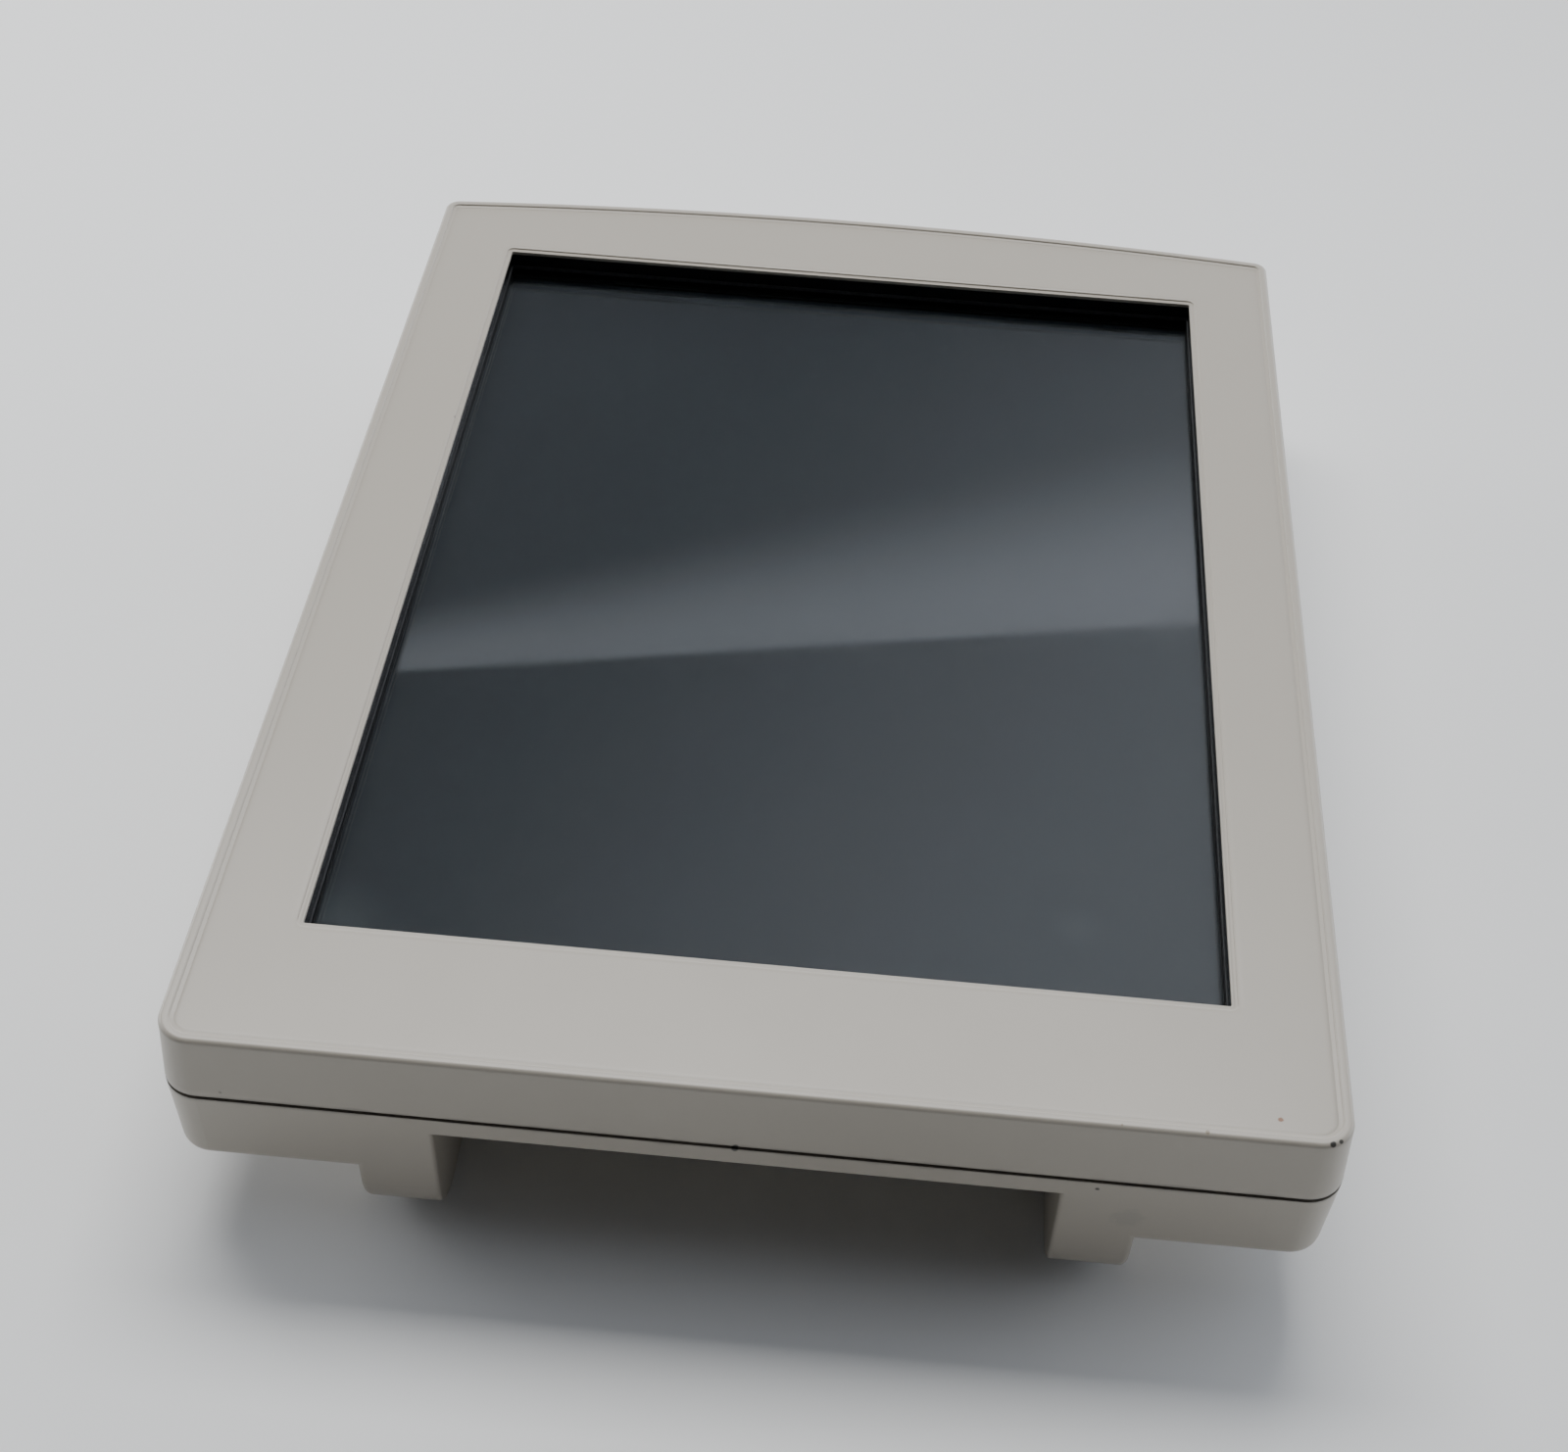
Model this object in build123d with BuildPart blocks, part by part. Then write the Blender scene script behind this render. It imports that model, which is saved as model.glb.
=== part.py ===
"""Portrait touch panel with an infrared touch frame, lying on its back.

The frame is +Z out of the screen, +Y towards the arched edge, -Y towards the edge with the
connector bay, and the origin under the middle of the body, on the surface it rests on.
"""

import math
import os

from build123d import *

# ---- driving dimensions, millimetres ----------------------------------------------------
OPENING_W, OPENING_L = 234.0, 312.0
SIDE_MARGIN, NEAR_MARGIN, FAR_MARGIN = 27.5, 41.9, 35.0
ARCH_RISE = 7.5
NEAR_CORNER_R, FAR_CORNER_R = 8.8, 4.6
SPREAD = 1.1

FRONT_Z = 70.0
FACE_DEPTH = 0.8
LIP_DEPTH = 1.5
LIP_T = 1.2
RIM_W, RIM_OUTER_R, RIM_INNER_R = 2.8, 1.3, 0.7
STEP_MARGIN, STEP_CORNER_R = 1.45, 1.2
OPENING_CORNER_R, FACE_EDGE_R = 0.6, 0.6
SEAM_Z = 49.5
SEAM_GAP = 1.0
TRAY_Z = 23.5
HUMP_Z = 2.0
WALL = 2.5
TRAY_EDGE_R, CHEEK_EDGE_R = 4.0, 1.2

SCREEN_DEPTH = 8.3
GLASS_T = 3.0
MODULE_W, MODULE_L, MODULE_T = 253.5, 326.5, 11.5

HUMP_HALF_W, HUMP_FAR_Y, HUMP_RAMP = 98.0, 118.0, 22.0
HUMP_NEAR_R, HUMP_FAR_R, HUMP_SIDE_R = 16.0, 8.0, 2.0
BAY_HALF_W, BAY_BACK_Y, BAY_ROOF_Z = 77.5, -120.0, 43.0
BAY_SKIN, WINDOW_HALF_W, WINDOW_Z = 2.0, 69.0, (14.0, 38.5)

CHASSIS_Z, SHEET_T = 41.8, 1.2
BOARD_Z, BOARD_T = 33.0, 1.6
MOUNT_PITCH, MOUNT_BORE_R = 100.0, 2.0
BUTTON_X, BUTTON_PITCH, BUTTON_R = 120.0, 14.0, 4.0
BUTTON_GAP, BUTTON_PROUD = 0.3, 0.6
BUTTON_NAMES = ("menu", "down", "up", "select")
ROCKER_TILT = 8.0
SCREW_R, SCREW_HOLE_R, HEAD_R, HEAD_T = 1.45, 1.6, 2.8, 2.0
SMALL_SCREW_R, PILOT_R, BOARD_HOLE_R = 1.2, 1.25, 1.35
SMALL_HEAD_R, SMALL_HEAD_T = 2.2, 1.4
POST_R, POST_BORE_R, SMALL_POST_R = 4.0, 1.5, 2.4
COVER_POST_Z, COVER_POST_R, COVER_SCREW_SEAT = 46.0, 4.5, 40.0
COVER_HEAD_R, COVER_HEAD_T, RECESS_L, RECESS_W, RECESS_DEPTH = 3.0, 2.2, 3.6, 0.8, 1.2
MOUNT_CLEAR_R, INSERT_R, INSERT_FLANGE_R = 2.8, 3.0, 4.2
FOOT_R, FOOT_SINK = 7.0, 0.8
VENT_ROWS, VENT_PITCH, VENT_COUNT = (-88.0, 90.0), 8.0, 15
VENT_LENGTH, VENT_W = 32.0, 2.6
CONNECTOR_Z = 26.5
SWITCH_X, TERMINAL_X, DVI_X, VIDEO_X, USB_X = -60.0, -40.0, -10.0, 26.0, 51.0
DVI_SCREW_X, VIDEO_SCREW_X = 16.6, 12.5
EMITTER_PITCH, EMITTER_HALF_W, EMITTER_H = 6.5, 1.5, 2.8
SIDE_EMITTERS, END_EMITTERS = 47, 35
LAMP_R, LAMP_X, LAMP_Z = 1.3, 120.4, 51.2
MODULE_SCREW_Z, BRACKET_X = 51.0, 128.2

# ---- worked out from them ---------------------------------------------------------------
BODY_W = OPENING_W + 2 * SIDE_MARGIN
BODY_L = OPENING_L + NEAR_MARGIN + FAR_MARGIN
SCREEN_Y = (NEAR_MARGIN - FAR_MARGIN) / 2
FACE_Z = FRONT_Z - FACE_DEPTH
LIP_Z = FRONT_Z - LIP_DEPTH
SKIN_Z = LIP_Z - LIP_T
GLASS_Z = FRONT_Z - SCREEN_DEPTH
BEZEL_FOOT_Z = SEAM_Z + SEAM_GAP / 2
COVER_TOP_Z = SEAM_Z - SEAM_GAP / 2
BOARD_LEVEL = 61.9
BOARD_TOP = BOARD_LEVEL + BOARD_T
MODULE_TOP = GLASS_Z - GLASS_T - 1.0
MODULE_BOTTOM = MODULE_TOP - MODULE_T
CHASSIS_TOP = CHASSIS_Z + SHEET_T
SIDE_SLOPE = (SPREAD + 0.4) / (SEAM_Z - TRAY_Z)
BOARD_BACK = BOARD_Z + BOARD_T
PLATE_Y = BAY_BACK_Y + BAY_SKIN + 0.2

CHASSIS_BOSSES = [(side * 135.0, y) for side in (-1, 1) for y in (-95.0, 60.0, 140.0)]
COVER_BOSSES = [(side * 134.6, y) for side in (-1, 1) for y in (-182.0, -30.0, 174.0)]
BUTTON_YS = [-26.0 + BUTTON_PITCH * i for i in range(len(BUTTON_NAMES))]
CORNERS = [(sx, sy) for sx in (-1, 1) for sy in (-1, 1)]
MOUNT_HOLES = [(sx * MOUNT_PITCH / 2, SCREEN_Y + sy * MOUNT_PITCH / 2) for sx, sy in CORNERS]
BOARD_BOSSES = (
    [(side * 127.6, SCREEN_Y + y) for side in (-1, 1) for y in (-140.0, 0.0, 140.0)]
    + [(x, SCREEN_Y + side * 166.4) for side in (-1, 1) for x in (-100.0, 0.0, 100.0)]
    + [(x, -179.5) for x in (-50.0, 30.0)]
)
OSD_BOSSES = [(BUTTON_X, BUTTON_YS[0] - 9.5), (BUTTON_X, BUTTON_YS[-1] + 9.5)]
PLATE_SCREWS = [(sx * 72.5, z) for sx in (-1, 1) for z in (12.0, 37.0)]
FEET = [(sx * 87.0, y) for sx in (-1, 1) for y in (-160.0, 100.0)]
MODULE_SCREWS = [(side, SCREEN_Y + y) for side in (-1, 1) for y in (-95.0, 95.0)]
BRACKET_SCREWS = [(side * 118.0, SCREEN_Y + y) for side in (-1, 1) for y in (-60.0, 60.0)]
MOUNT_FEET = [(sx * 90.0, SCREEN_Y + sy * 45.0) for sx, sy in CORNERS]
BOARD_SCREWS = [
    (-72.0, -86.0), (72.0, -108.0), (-72.0, -22.0), (72.0, -22.0),
    (-72.0, 1.0), (-14.0, 1.0), (-72.0, 69.0), (-14.0, 69.0),
    (-113.0, -34.0), (-113.0, 84.0),
]

os.makedirs("parts", exist_ok=True)


# ---- shared shapes ----------------------------------------------------------------------
def block(x, y, z, mode=Mode.ADD):
    """A box from the low to the high value of each of three pairs."""
    with Locations(((x[0] + x[1]) / 2, (y[0] + y[1]) / 2, (z[0] + z[1]) / 2)):
        Box(x[1] - x[0], y[1] - y[0], z[1] - z[0], mode=mode)


def post(x, y, z, radius, mode=Mode.ADD):
    """An upright cylinder at (x, y) between the two heights in z."""
    with Locations((x, y, (z[0] + z[1]) / 2)):
        Cylinder(radius, z[1] - z[0], mode=mode)


def rod_y(x, y, z, radius, mode=Mode.ADD):
    """A cylinder along Y at (x, z) between the two values in y."""
    with Locations((x, (y[0] + y[1]) / 2, z)):
        Cylinder(radius, y[1] - y[0], rotation=(90, 0, 0), mode=mode)


def rod_x(x, y, z, radius, mode=Mode.ADD):
    """A cylinder along X at (y, z) between the two values in x."""
    with Locations(((x[0] + x[1]) / 2, y, z)):
        Cylinder(radius, x[1] - x[0], rotation=(0, 90, 0), mode=mode)


def ring_block(outer, inner, z, mode=Mode.ADD):
    """A rectangular ring centred on the screen, from its outer and inner half sizes."""
    with BuildSketch(Plane.XY.offset(z[0])) as band:
        with Locations((0, SCREEN_Y)):
            Rectangle(2 * outer[0], 2 * outer[1])
            Rectangle(2 * inner[0], 2 * inner[1], mode=Mode.SUBTRACT)
    extrude(band.sketch, amount=z[1] - z[0], mode=mode)


def body_outline(grow, z):
    """The body's outline seen from the front, moved outwards by grow, at height z.

    Straight sides and near edge, and one long arc of rise ARCH_RISE for the far edge."""
    half = BODY_W / 2 + grow
    end = BODY_L / 2 + grow
    with BuildSketch(Plane.XY.offset(z)) as outline:
        with BuildLine():
            ThreePointArc((half, end - ARCH_RISE), (0, end), (-half, end - ARCH_RISE))
            Polyline((-half, end - ARCH_RISE), (-half, -end), (half, -end), (half, end - ARCH_RISE))
        make_face()
        fillet(outline.vertices().group_by(Axis.Y)[-1], FAR_CORNER_R + grow)
        fillet(outline.vertices().group_by(Axis.Y)[0], NEAR_CORNER_R + grow)
    return outline.sketch


def rear_spread(z):
    """How far the rear cover's wall stands outside the front rim at height z."""
    return SPREAD - SIDE_SLOPE * (SEAM_Z - z)


def keep(piece, name):
    """Names a finished piece and writes it to its own file."""
    piece.part.label = name
    export_step(piece.part, f"parts/{name}.step")


# ---- housing ----------------------------------------------------------------------------
with BuildPart() as front_bezel:
    foot_spread = SPREAD * (FRONT_Z - BEZEL_FOOT_Z) / (FRONT_Z - SEAM_Z)
    loft([body_outline(foot_spread, BEZEL_FOOT_Z), body_outline(0, FRONT_Z)], ruled=True)
    extrude(body_outline(-RIM_W, FACE_Z), amount=FACE_DEPTH, mode=Mode.SUBTRACT)
    fillet(front_bezel.faces().sort_by(Axis.Z)[-1].outer_wire().edges(), RIM_OUTER_R)
    fillet(front_bezel.faces().sort_by(Axis.Z)[-1].inner_wires()[0].edges(), RIM_INNER_R)
    extrude(
        body_outline(-WALL, BEZEL_FOOT_Z), amount=SKIN_Z - BEZEL_FOOT_Z, mode=Mode.SUBTRACT
    )
    for x, y in CHASSIS_BOSSES:
        post(x, y, (CHASSIS_TOP, SKIN_Z), POST_R)
        post(x, y, (CHASSIS_TOP, CHASSIS_TOP + 10), POST_BORE_R, Mode.SUBTRACT)
    for x, y in COVER_BOSSES:
        post(x, y, (COVER_POST_Z, SKIN_Z), POST_R)
        post(x, y, (COVER_POST_Z, COVER_POST_Z + 11), POST_BORE_R, Mode.SUBTRACT)
    for x, y in BOARD_BOSSES:
        post(x, y, (BOARD_TOP, SKIN_Z), SMALL_POST_R)
        post(x, y, (BOARD_TOP, SKIN_Z - 0.4), PILOT_R, Mode.SUBTRACT)
    with BuildSketch(Plane.XY.offset(LIP_Z)):
        with Locations((0, SCREEN_Y)):
            RectangleRounded(OPENING_W + 2 * STEP_MARGIN, OPENING_L + 2 * STEP_MARGIN, STEP_CORNER_R)
    extrude(amount=FACE_Z - LIP_Z, mode=Mode.SUBTRACT)
    with BuildSketch(Plane.XY.offset(SKIN_Z)):
        with Locations((0, SCREEN_Y)):
            RectangleRounded(OPENING_W, OPENING_L, OPENING_CORNER_R)
    extrude(amount=LIP_T, mode=Mode.SUBTRACT)
    top_face = front_bezel.faces().filter_by(lambda f: abs(f.center().Z - FACE_Z) < 0.01)[0]
    fillet(top_face.inner_wires()[0].edges(), FACE_EDGE_R)
keep(front_bezel, "front_bezel")

HUMP_NEAR_Y = -BODY_L / 2 - rear_spread(TRAY_Z)

with BuildPart() as cover_hollow:
    loft(
        [
            body_outline(rear_spread(TRAY_Z) - WALL, TRAY_Z + WALL),
            body_outline(rear_spread(COVER_TOP_Z) - WALL, COVER_TOP_Z + 6),
        ],
        ruled=True,
    )
    with BuildSketch(Plane.YZ.offset(-HUMP_HALF_W + WALL)) as hollow_side:
        with BuildLine():
            Polyline(
                (HUMP_NEAR_Y + WALL, TRAY_Z + 10),
                (HUMP_NEAR_Y + WALL + 1.2, HUMP_Z + WALL),
                (HUMP_FAR_Y - 1.5, HUMP_Z + WALL),
                (HUMP_FAR_Y + HUMP_RAMP - 1.5, TRAY_Z + WALL),
                (HUMP_FAR_Y + HUMP_RAMP - 1.5, TRAY_Z + 10),
                close=True,
            )
        make_face()
        low_corners = hollow_side.vertices().group_by(Axis.Y)[0].sort_by(Axis.X)
        fillet(low_corners[0], HUMP_NEAR_R - WALL)
        fillet(low_corners[-1], HUMP_FAR_R - WALL)
    extrude(amount=2 * (HUMP_HALF_W - WALL))
    block(
        (-BAY_HALF_W - BAY_SKIN - 0.3, BAY_HALF_W + BAY_SKIN + 0.3),
        (-BODY_L, PLATE_Y),
        (0, BAY_ROOF_Z + BAY_SKIN),
        Mode.SUBTRACT,
    )

with BuildPart() as tongue:
    extrude(body_outline(-1.3, COVER_TOP_Z - 2.7), amount=2.7)
    extrude(body_outline(-WALL - 0.2, COVER_TOP_Z), amount=3.5)
    extrude(body_outline(-3.9, COVER_TOP_Z - 2.7), amount=6.2, mode=Mode.SUBTRACT)

with BuildPart() as hump:
    with BuildSketch(Plane.YZ.offset(-HUMP_HALF_W)) as hump_side:
        with BuildLine():
            Polyline(
                (HUMP_NEAR_Y - 0.4, TRAY_Z + 7),
                (HUMP_NEAR_Y + SIDE_SLOPE * (TRAY_Z - HUMP_Z), HUMP_Z),
                (HUMP_FAR_Y, HUMP_Z),
                (HUMP_FAR_Y + HUMP_RAMP, TRAY_Z + 0.5),
                (HUMP_FAR_Y + HUMP_RAMP, TRAY_Z + 7),
                close=True,
            )
        make_face()
        low_corners = hump_side.vertices().group_by(Axis.Y)[0].sort_by(Axis.X)
        fillet(low_corners[0], HUMP_NEAR_R)
        fillet(low_corners[-1], HUMP_FAR_R)
    extrude(amount=2 * HUMP_HALF_W)
    side_rims = hump.faces().filter_by(Axis.X).edges()
    fillet(side_rims.filter_by(lambda edge: edge.bounding_box().max.Z < TRAY_Z + 6.9), HUMP_SIDE_R)


def on_cheek_rim(edge):
    """True for the free edges of the bay's two side walls: not its roof, nor its back."""
    middle = edge.center()
    beside = abs(abs(middle.X) - BAY_HALF_W) < 0.01
    return beside and middle.Z < BAY_ROOF_Z - 0.5 and middle.Y < BAY_BACK_Y - 0.5


with BuildPart() as rear_cover:
    loft(
        [
            body_outline(rear_spread(TRAY_Z), TRAY_Z),
            body_outline(rear_spread(COVER_TOP_Z), COVER_TOP_Z),
        ],
        ruled=True,
    )
    fillet(rear_cover.faces().sort_by(Axis.Z)[0].edges(), TRAY_EDGE_R)
    add(hump.part)
    block((-BAY_HALF_W, BAY_HALF_W), (-BODY_L, BAY_BACK_Y), (-1, BAY_ROOF_Z), Mode.SUBTRACT)
    fillet(rear_cover.edges().filter_by(on_cheek_rim), CHEEK_EDGE_R)
    add(cover_hollow.part, mode=Mode.SUBTRACT)
    block(
        (-WINDOW_HALF_W, WINDOW_HALF_W), (BAY_BACK_Y - 1, PLATE_Y + 1), WINDOW_Z, Mode.SUBTRACT
    )
    for x, z in PLATE_SCREWS:
        rod_y(x, (BAY_BACK_Y - 1, PLATE_Y + 1), z, SCREW_HOLE_R, Mode.SUBTRACT)
    add(tongue.part)
    for x, y in COVER_BOSSES:
        post(x, y, (TRAY_Z + 1, COVER_POST_Z - 0.1), COVER_POST_R)
        post(x, y, (TRAY_Z - 1, COVER_POST_Z), SCREW_HOLE_R + 0.1, Mode.SUBTRACT)
        post(x, y, (TRAY_Z - 1, COVER_SCREW_SEAT), COVER_HEAD_R + 0.4, Mode.SUBTRACT)
    for y in BUTTON_YS:
        post(BUTTON_X, y, (TRAY_Z - 1, TRAY_Z + WALL + 1), BUTTON_R + BUTTON_GAP, Mode.SUBTRACT)
    for x, y in OSD_BOSSES:
        post(x, y, (TRAY_Z + 1, BOARD_Z), SMALL_POST_R)
        post(x, y, (TRAY_Z + WALL, BOARD_Z), PILOT_R, Mode.SUBTRACT)
    for x, y in MOUNT_HOLES:
        post(x, y, (HUMP_Z - 1, HUMP_Z + WALL + 1), MOUNT_CLEAR_R, Mode.SUBTRACT)
    for x, y in FEET:
        post(x, y, (HUMP_Z - 1, HUMP_Z + FOOT_SINK), FOOT_R + 0.1, Mode.SUBTRACT)
    for y in VENT_ROWS:
        with BuildSketch(Plane.XY.offset(HUMP_Z - 0.5)):
            with Locations((0, y)):
                with GridLocations(VENT_PITCH, 0, VENT_COUNT, 1):
                    SlotOverall(VENT_LENGTH, VENT_W, rotation=90)
        extrude(amount=WALL + 1, mode=Mode.SUBTRACT)
keep(rear_cover, "rear_cover")

with BuildPart() as seam_gasket:
    extrude(body_outline(-1.7, COVER_TOP_Z), amount=SEAM_GAP)
    extrude(body_outline(-2.6, COVER_TOP_Z), amount=SEAM_GAP, mode=Mode.SUBTRACT)
keep(seam_gasket, "seam_gasket")

with BuildPart() as cover_screws:
    for x, y in COVER_BOSSES:
        post(x, y, (COVER_SCREW_SEAT - COVER_HEAD_T, COVER_SCREW_SEAT), COVER_HEAD_R)
        post(x, y, (COVER_SCREW_SEAT, COVER_POST_Z + 10), SCREW_R)
        with BuildSketch(Plane.XY.offset(COVER_SCREW_SEAT - COVER_HEAD_T)):
            with Locations((x, y)):
                Rectangle(RECESS_L, RECESS_W)
                Rectangle(RECESS_W, RECESS_L)
        extrude(amount=RECESS_DEPTH, mode=Mode.SUBTRACT)
keep(cover_screws, "rear_cover_screws")

with BuildPart() as rubber_feet:
    for x, y in FEET:
        post(x, y, (0, HUMP_Z + FOOT_SINK), FOOT_R)
    fillet(rubber_feet.edges().filter_by(GeomType.CIRCLE).group_by(Axis.Z)[0], 0.8)
keep(rubber_feet, "rubber_feet")


# ---- touch frame: filter, glass, boards -------------------------------------------------
with BuildPart() as filter_frame:
    ring_block((119.4, 158.4), (117.2, 156.2), (GLASS_Z + 1.25, SKIN_Z - 0.05))
keep(filter_frame, "infrared_filter_frame")

with BuildPart() as filter_gasket:
    ring_block((120.0, 159.0), (117.0, 156.0), (GLASS_Z, GLASS_Z + 1.2))
keep(filter_gasket, "filter_gasket")

with BuildPart() as front_glass:
    block((-122.5, 122.5), (SCREEN_Y - 161.5, SCREEN_Y + 161.5), (GLASS_Z - GLASS_T, GLASS_Z))
    chamfer(front_glass.edges().filter_by(Axis.Z, reverse=True), 0.4)
keep(front_glass, "front_glass")

with BuildPart() as glass_gasket:
    ring_block((121.5, 160.5), (117.2, 155.2), (MODULE_TOP, GLASS_Z - GLASS_T))
keep(glass_gasket, "glass_gasket")


def side_board(side):
    """One long board of the touch frame, beside the screen on the -X or +X side."""
    with BuildPart() as board:
        edges = sorted((side * 120.3, side * 130.2))
        block(edges, (SCREEN_Y - 157, SCREEN_Y + 157), (BOARD_LEVEL, BOARD_TOP))
        for x, y in BOARD_BOSSES:
            post(x, y, (BOARD_LEVEL - 1, BOARD_TOP + 1), BOARD_HOLE_R, Mode.SUBTRACT)
    return board


def end_board(side):
    """One short board of the touch frame, past the screen's near or far edge."""
    with BuildPart() as board:
        edges = sorted((SCREEN_Y + side * 159.3, SCREEN_Y + side * 169.2))
        block((-118, 118), edges, (BOARD_LEVEL, BOARD_TOP))
        for x, y in BOARD_BOSSES:
            post(x, y, (BOARD_LEVEL - 1, BOARD_TOP + 1), BOARD_HOLE_R, Mode.SUBTRACT)
    return board


keep(side_board(-1), "touch_board_left")
keep(side_board(1), "touch_board_right")
keep(end_board(-1), "touch_board_near")
keep(end_board(1), "touch_board_far")


def beam_row(side_x, side_y):
    """The row of infrared parts along one side board and one end board."""
    edges_x = sorted((side_x * 120.6, side_x * 123.0))
    edges_y = sorted((SCREEN_Y + side_y * 159.6, SCREEN_Y + side_y * 162.0))
    with BuildPart() as row:
        for i in range(SIDE_EMITTERS):
            y = SCREEN_Y + (i - SIDE_EMITTERS // 2) * EMITTER_PITCH
            ends = (y - EMITTER_HALF_W, y + EMITTER_HALF_W)
            block(edges_x, ends, (BOARD_TOP, BOARD_TOP + EMITTER_H))
        for i in range(END_EMITTERS):
            x = (i - END_EMITTERS // 2) * EMITTER_PITCH
            ends = (x - EMITTER_HALF_W, x + EMITTER_HALF_W)
            block(ends, edges_y, (BOARD_TOP, BOARD_TOP + EMITTER_H))
    return row


keep(beam_row(-1, -1), "infrared_emitters")
keep(beam_row(1, 1), "infrared_detectors")

with BuildPart() as touch_controller:
    block((-58, 58), (-188.5, -170.5), (BOARD_LEVEL, BOARD_TOP))
    for x, y in BOARD_BOSSES:
        post(x, y, (BOARD_LEVEL - 1, BOARD_TOP + 1), BOARD_HOLE_R, Mode.SUBTRACT)
    block((-24, -10), (-186, -172), (BOARD_TOP, BOARD_TOP + 1.4))
    block((4, 12), (-184, -174), (BOARD_TOP, BOARD_TOP + 1.2))
    block((43, 56), (-183, -175), (BOARD_LEVEL - 4, BOARD_LEVEL))
keep(touch_controller, "touch_controller")

with BuildPart() as small_screws:
    for x, y in BOARD_BOSSES:
        post(x, y, (BOARD_LEVEL - SMALL_HEAD_T, BOARD_LEVEL), SMALL_HEAD_R)
        post(x, y, (BOARD_LEVEL, SKIN_Z - 0.8), SMALL_SCREW_R)
    for x, y in OSD_BOSSES:
        post(x, y, (BOARD_BACK, BOARD_BACK + SMALL_HEAD_T), SMALL_HEAD_R)
        post(x, y, (TRAY_Z + WALL + 1, BOARD_BACK), SMALL_SCREW_R)
keep(small_screws, "board_to_moulding_screws")


# ---- display module ---------------------------------------------------------------------
with BuildPart() as lcd_front_frame:
    half = (MODULE_W / 2, MODULE_L / 2)
    ring_block(half, (116.9, 154.4), (MODULE_TOP - 0.6, MODULE_TOP))
    ring_block(half, (half[0] - 0.6, half[1] - 0.6), (48.5, MODULE_TOP))
    for side, y in MODULE_SCREWS:
        rod_x(sorted((side * 124, side * 128)), y, MODULE_SCREW_Z, 1.5, Mode.SUBTRACT)
keep(lcd_front_frame, "lcd_front_frame")

with BuildPart() as lcd_cell:
    block((-120, 120), (SCREEN_Y - 157.5, SCREEN_Y + 157.5), (55.55, 56.95))
keep(lcd_cell, "lcd_cell")

with BuildPart() as lcd_panel_frame:
    ring_block((124.3, 160.8), (118.2, 156.2), (54.6, 55.5))
keep(lcd_panel_frame, "lcd_panel_frame")

with BuildPart() as lcd_films:
    block((-118, 118), (SCREEN_Y - 156, SCREEN_Y + 156), (54.5, 55.4))
keep(lcd_films, "lcd_diffuser_films")

with BuildPart() as light_guide:
    block((-117.4, 117.4), (SCREEN_Y - 154.5, SCREEN_Y + 154.5), (47.8, 54.4))
keep(light_guide, "lcd_light_guide")

with BuildPart() as lamps:
    for side in (-1, 1):
        rod_y(side * LAMP_X, (SCREEN_Y - 156, SCREEN_Y + 156), LAMP_Z, LAMP_R)
keep(lamps, "lcd_lamps")

with BuildPart() as lamp_reflectors:
    for side in (-1, 1):
        block(
            sorted((side * 117.7, side * 123.6)), (SCREEN_Y - 155, SCREEN_Y + 155), (48.0, 54.3)
        )
        block(
            sorted((side * 117.6, side * 123.2)),
            (SCREEN_Y - 156, SCREEN_Y + 156),
            (48.4, 53.9),
            Mode.SUBTRACT,
        )
keep(lamp_reflectors, "lcd_lamp_reflectors")

with BuildPart() as lcd_back_pan:
    half = (MODULE_W / 2 - 0.75, MODULE_L / 2 - 0.75)
    ring_block(half, (half[0] - 1.4, half[1] - 1.4), (MODULE_BOTTOM, 54.6))
    block((-half[0], half[0]), (SCREEN_Y - half[1], SCREEN_Y + half[1]), (MODULE_BOTTOM, 47.7))
    for side, y in MODULE_SCREWS:
        rod_x(sorted((side * 124, side * 128)), y, MODULE_SCREW_Z, 1.5, Mode.SUBTRACT)
keep(lcd_back_pan, "lcd_back_pan")

with BuildPart() as lcd_driver_board:
    block((-95, 95), (137, 160), (MODULE_BOTTOM - 1.6, MODULE_BOTTOM - 0.4))
    for x in (-60, -35, 48):
        block((x - 7, x + 7), (143, 155), (MODULE_BOTTOM - 2.8, MODULE_BOTTOM - 1.6))
    block((8, 28), (137, 141), (MODULE_BOTTOM - 2.9, MODULE_BOTTOM - 1.6))
keep(lcd_driver_board, "lcd_driver_board")

with BuildPart() as lcd_brackets:
    for side in (-1, 1):
        block(
            sorted((side * (BRACKET_X - SHEET_T), side * BRACKET_X)),
            (SCREEN_Y - 110, SCREEN_Y + 110),
            (CHASSIS_TOP, 54),
        )
        block(
            sorted((side * 112.0, side * BRACKET_X)),
            (SCREEN_Y - 110, SCREEN_Y + 110),
            (CHASSIS_TOP, CHASSIS_TOP + SHEET_T),
        )
    for side, y in MODULE_SCREWS:
        rod_x(sorted((side * 126, side * 129)), y, MODULE_SCREW_Z, SCREW_HOLE_R, Mode.SUBTRACT)
    for x, y in BRACKET_SCREWS:
        post(x, y, (42, 45), SCREW_HOLE_R, Mode.SUBTRACT)
keep(lcd_brackets, "lcd_side_brackets")


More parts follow.
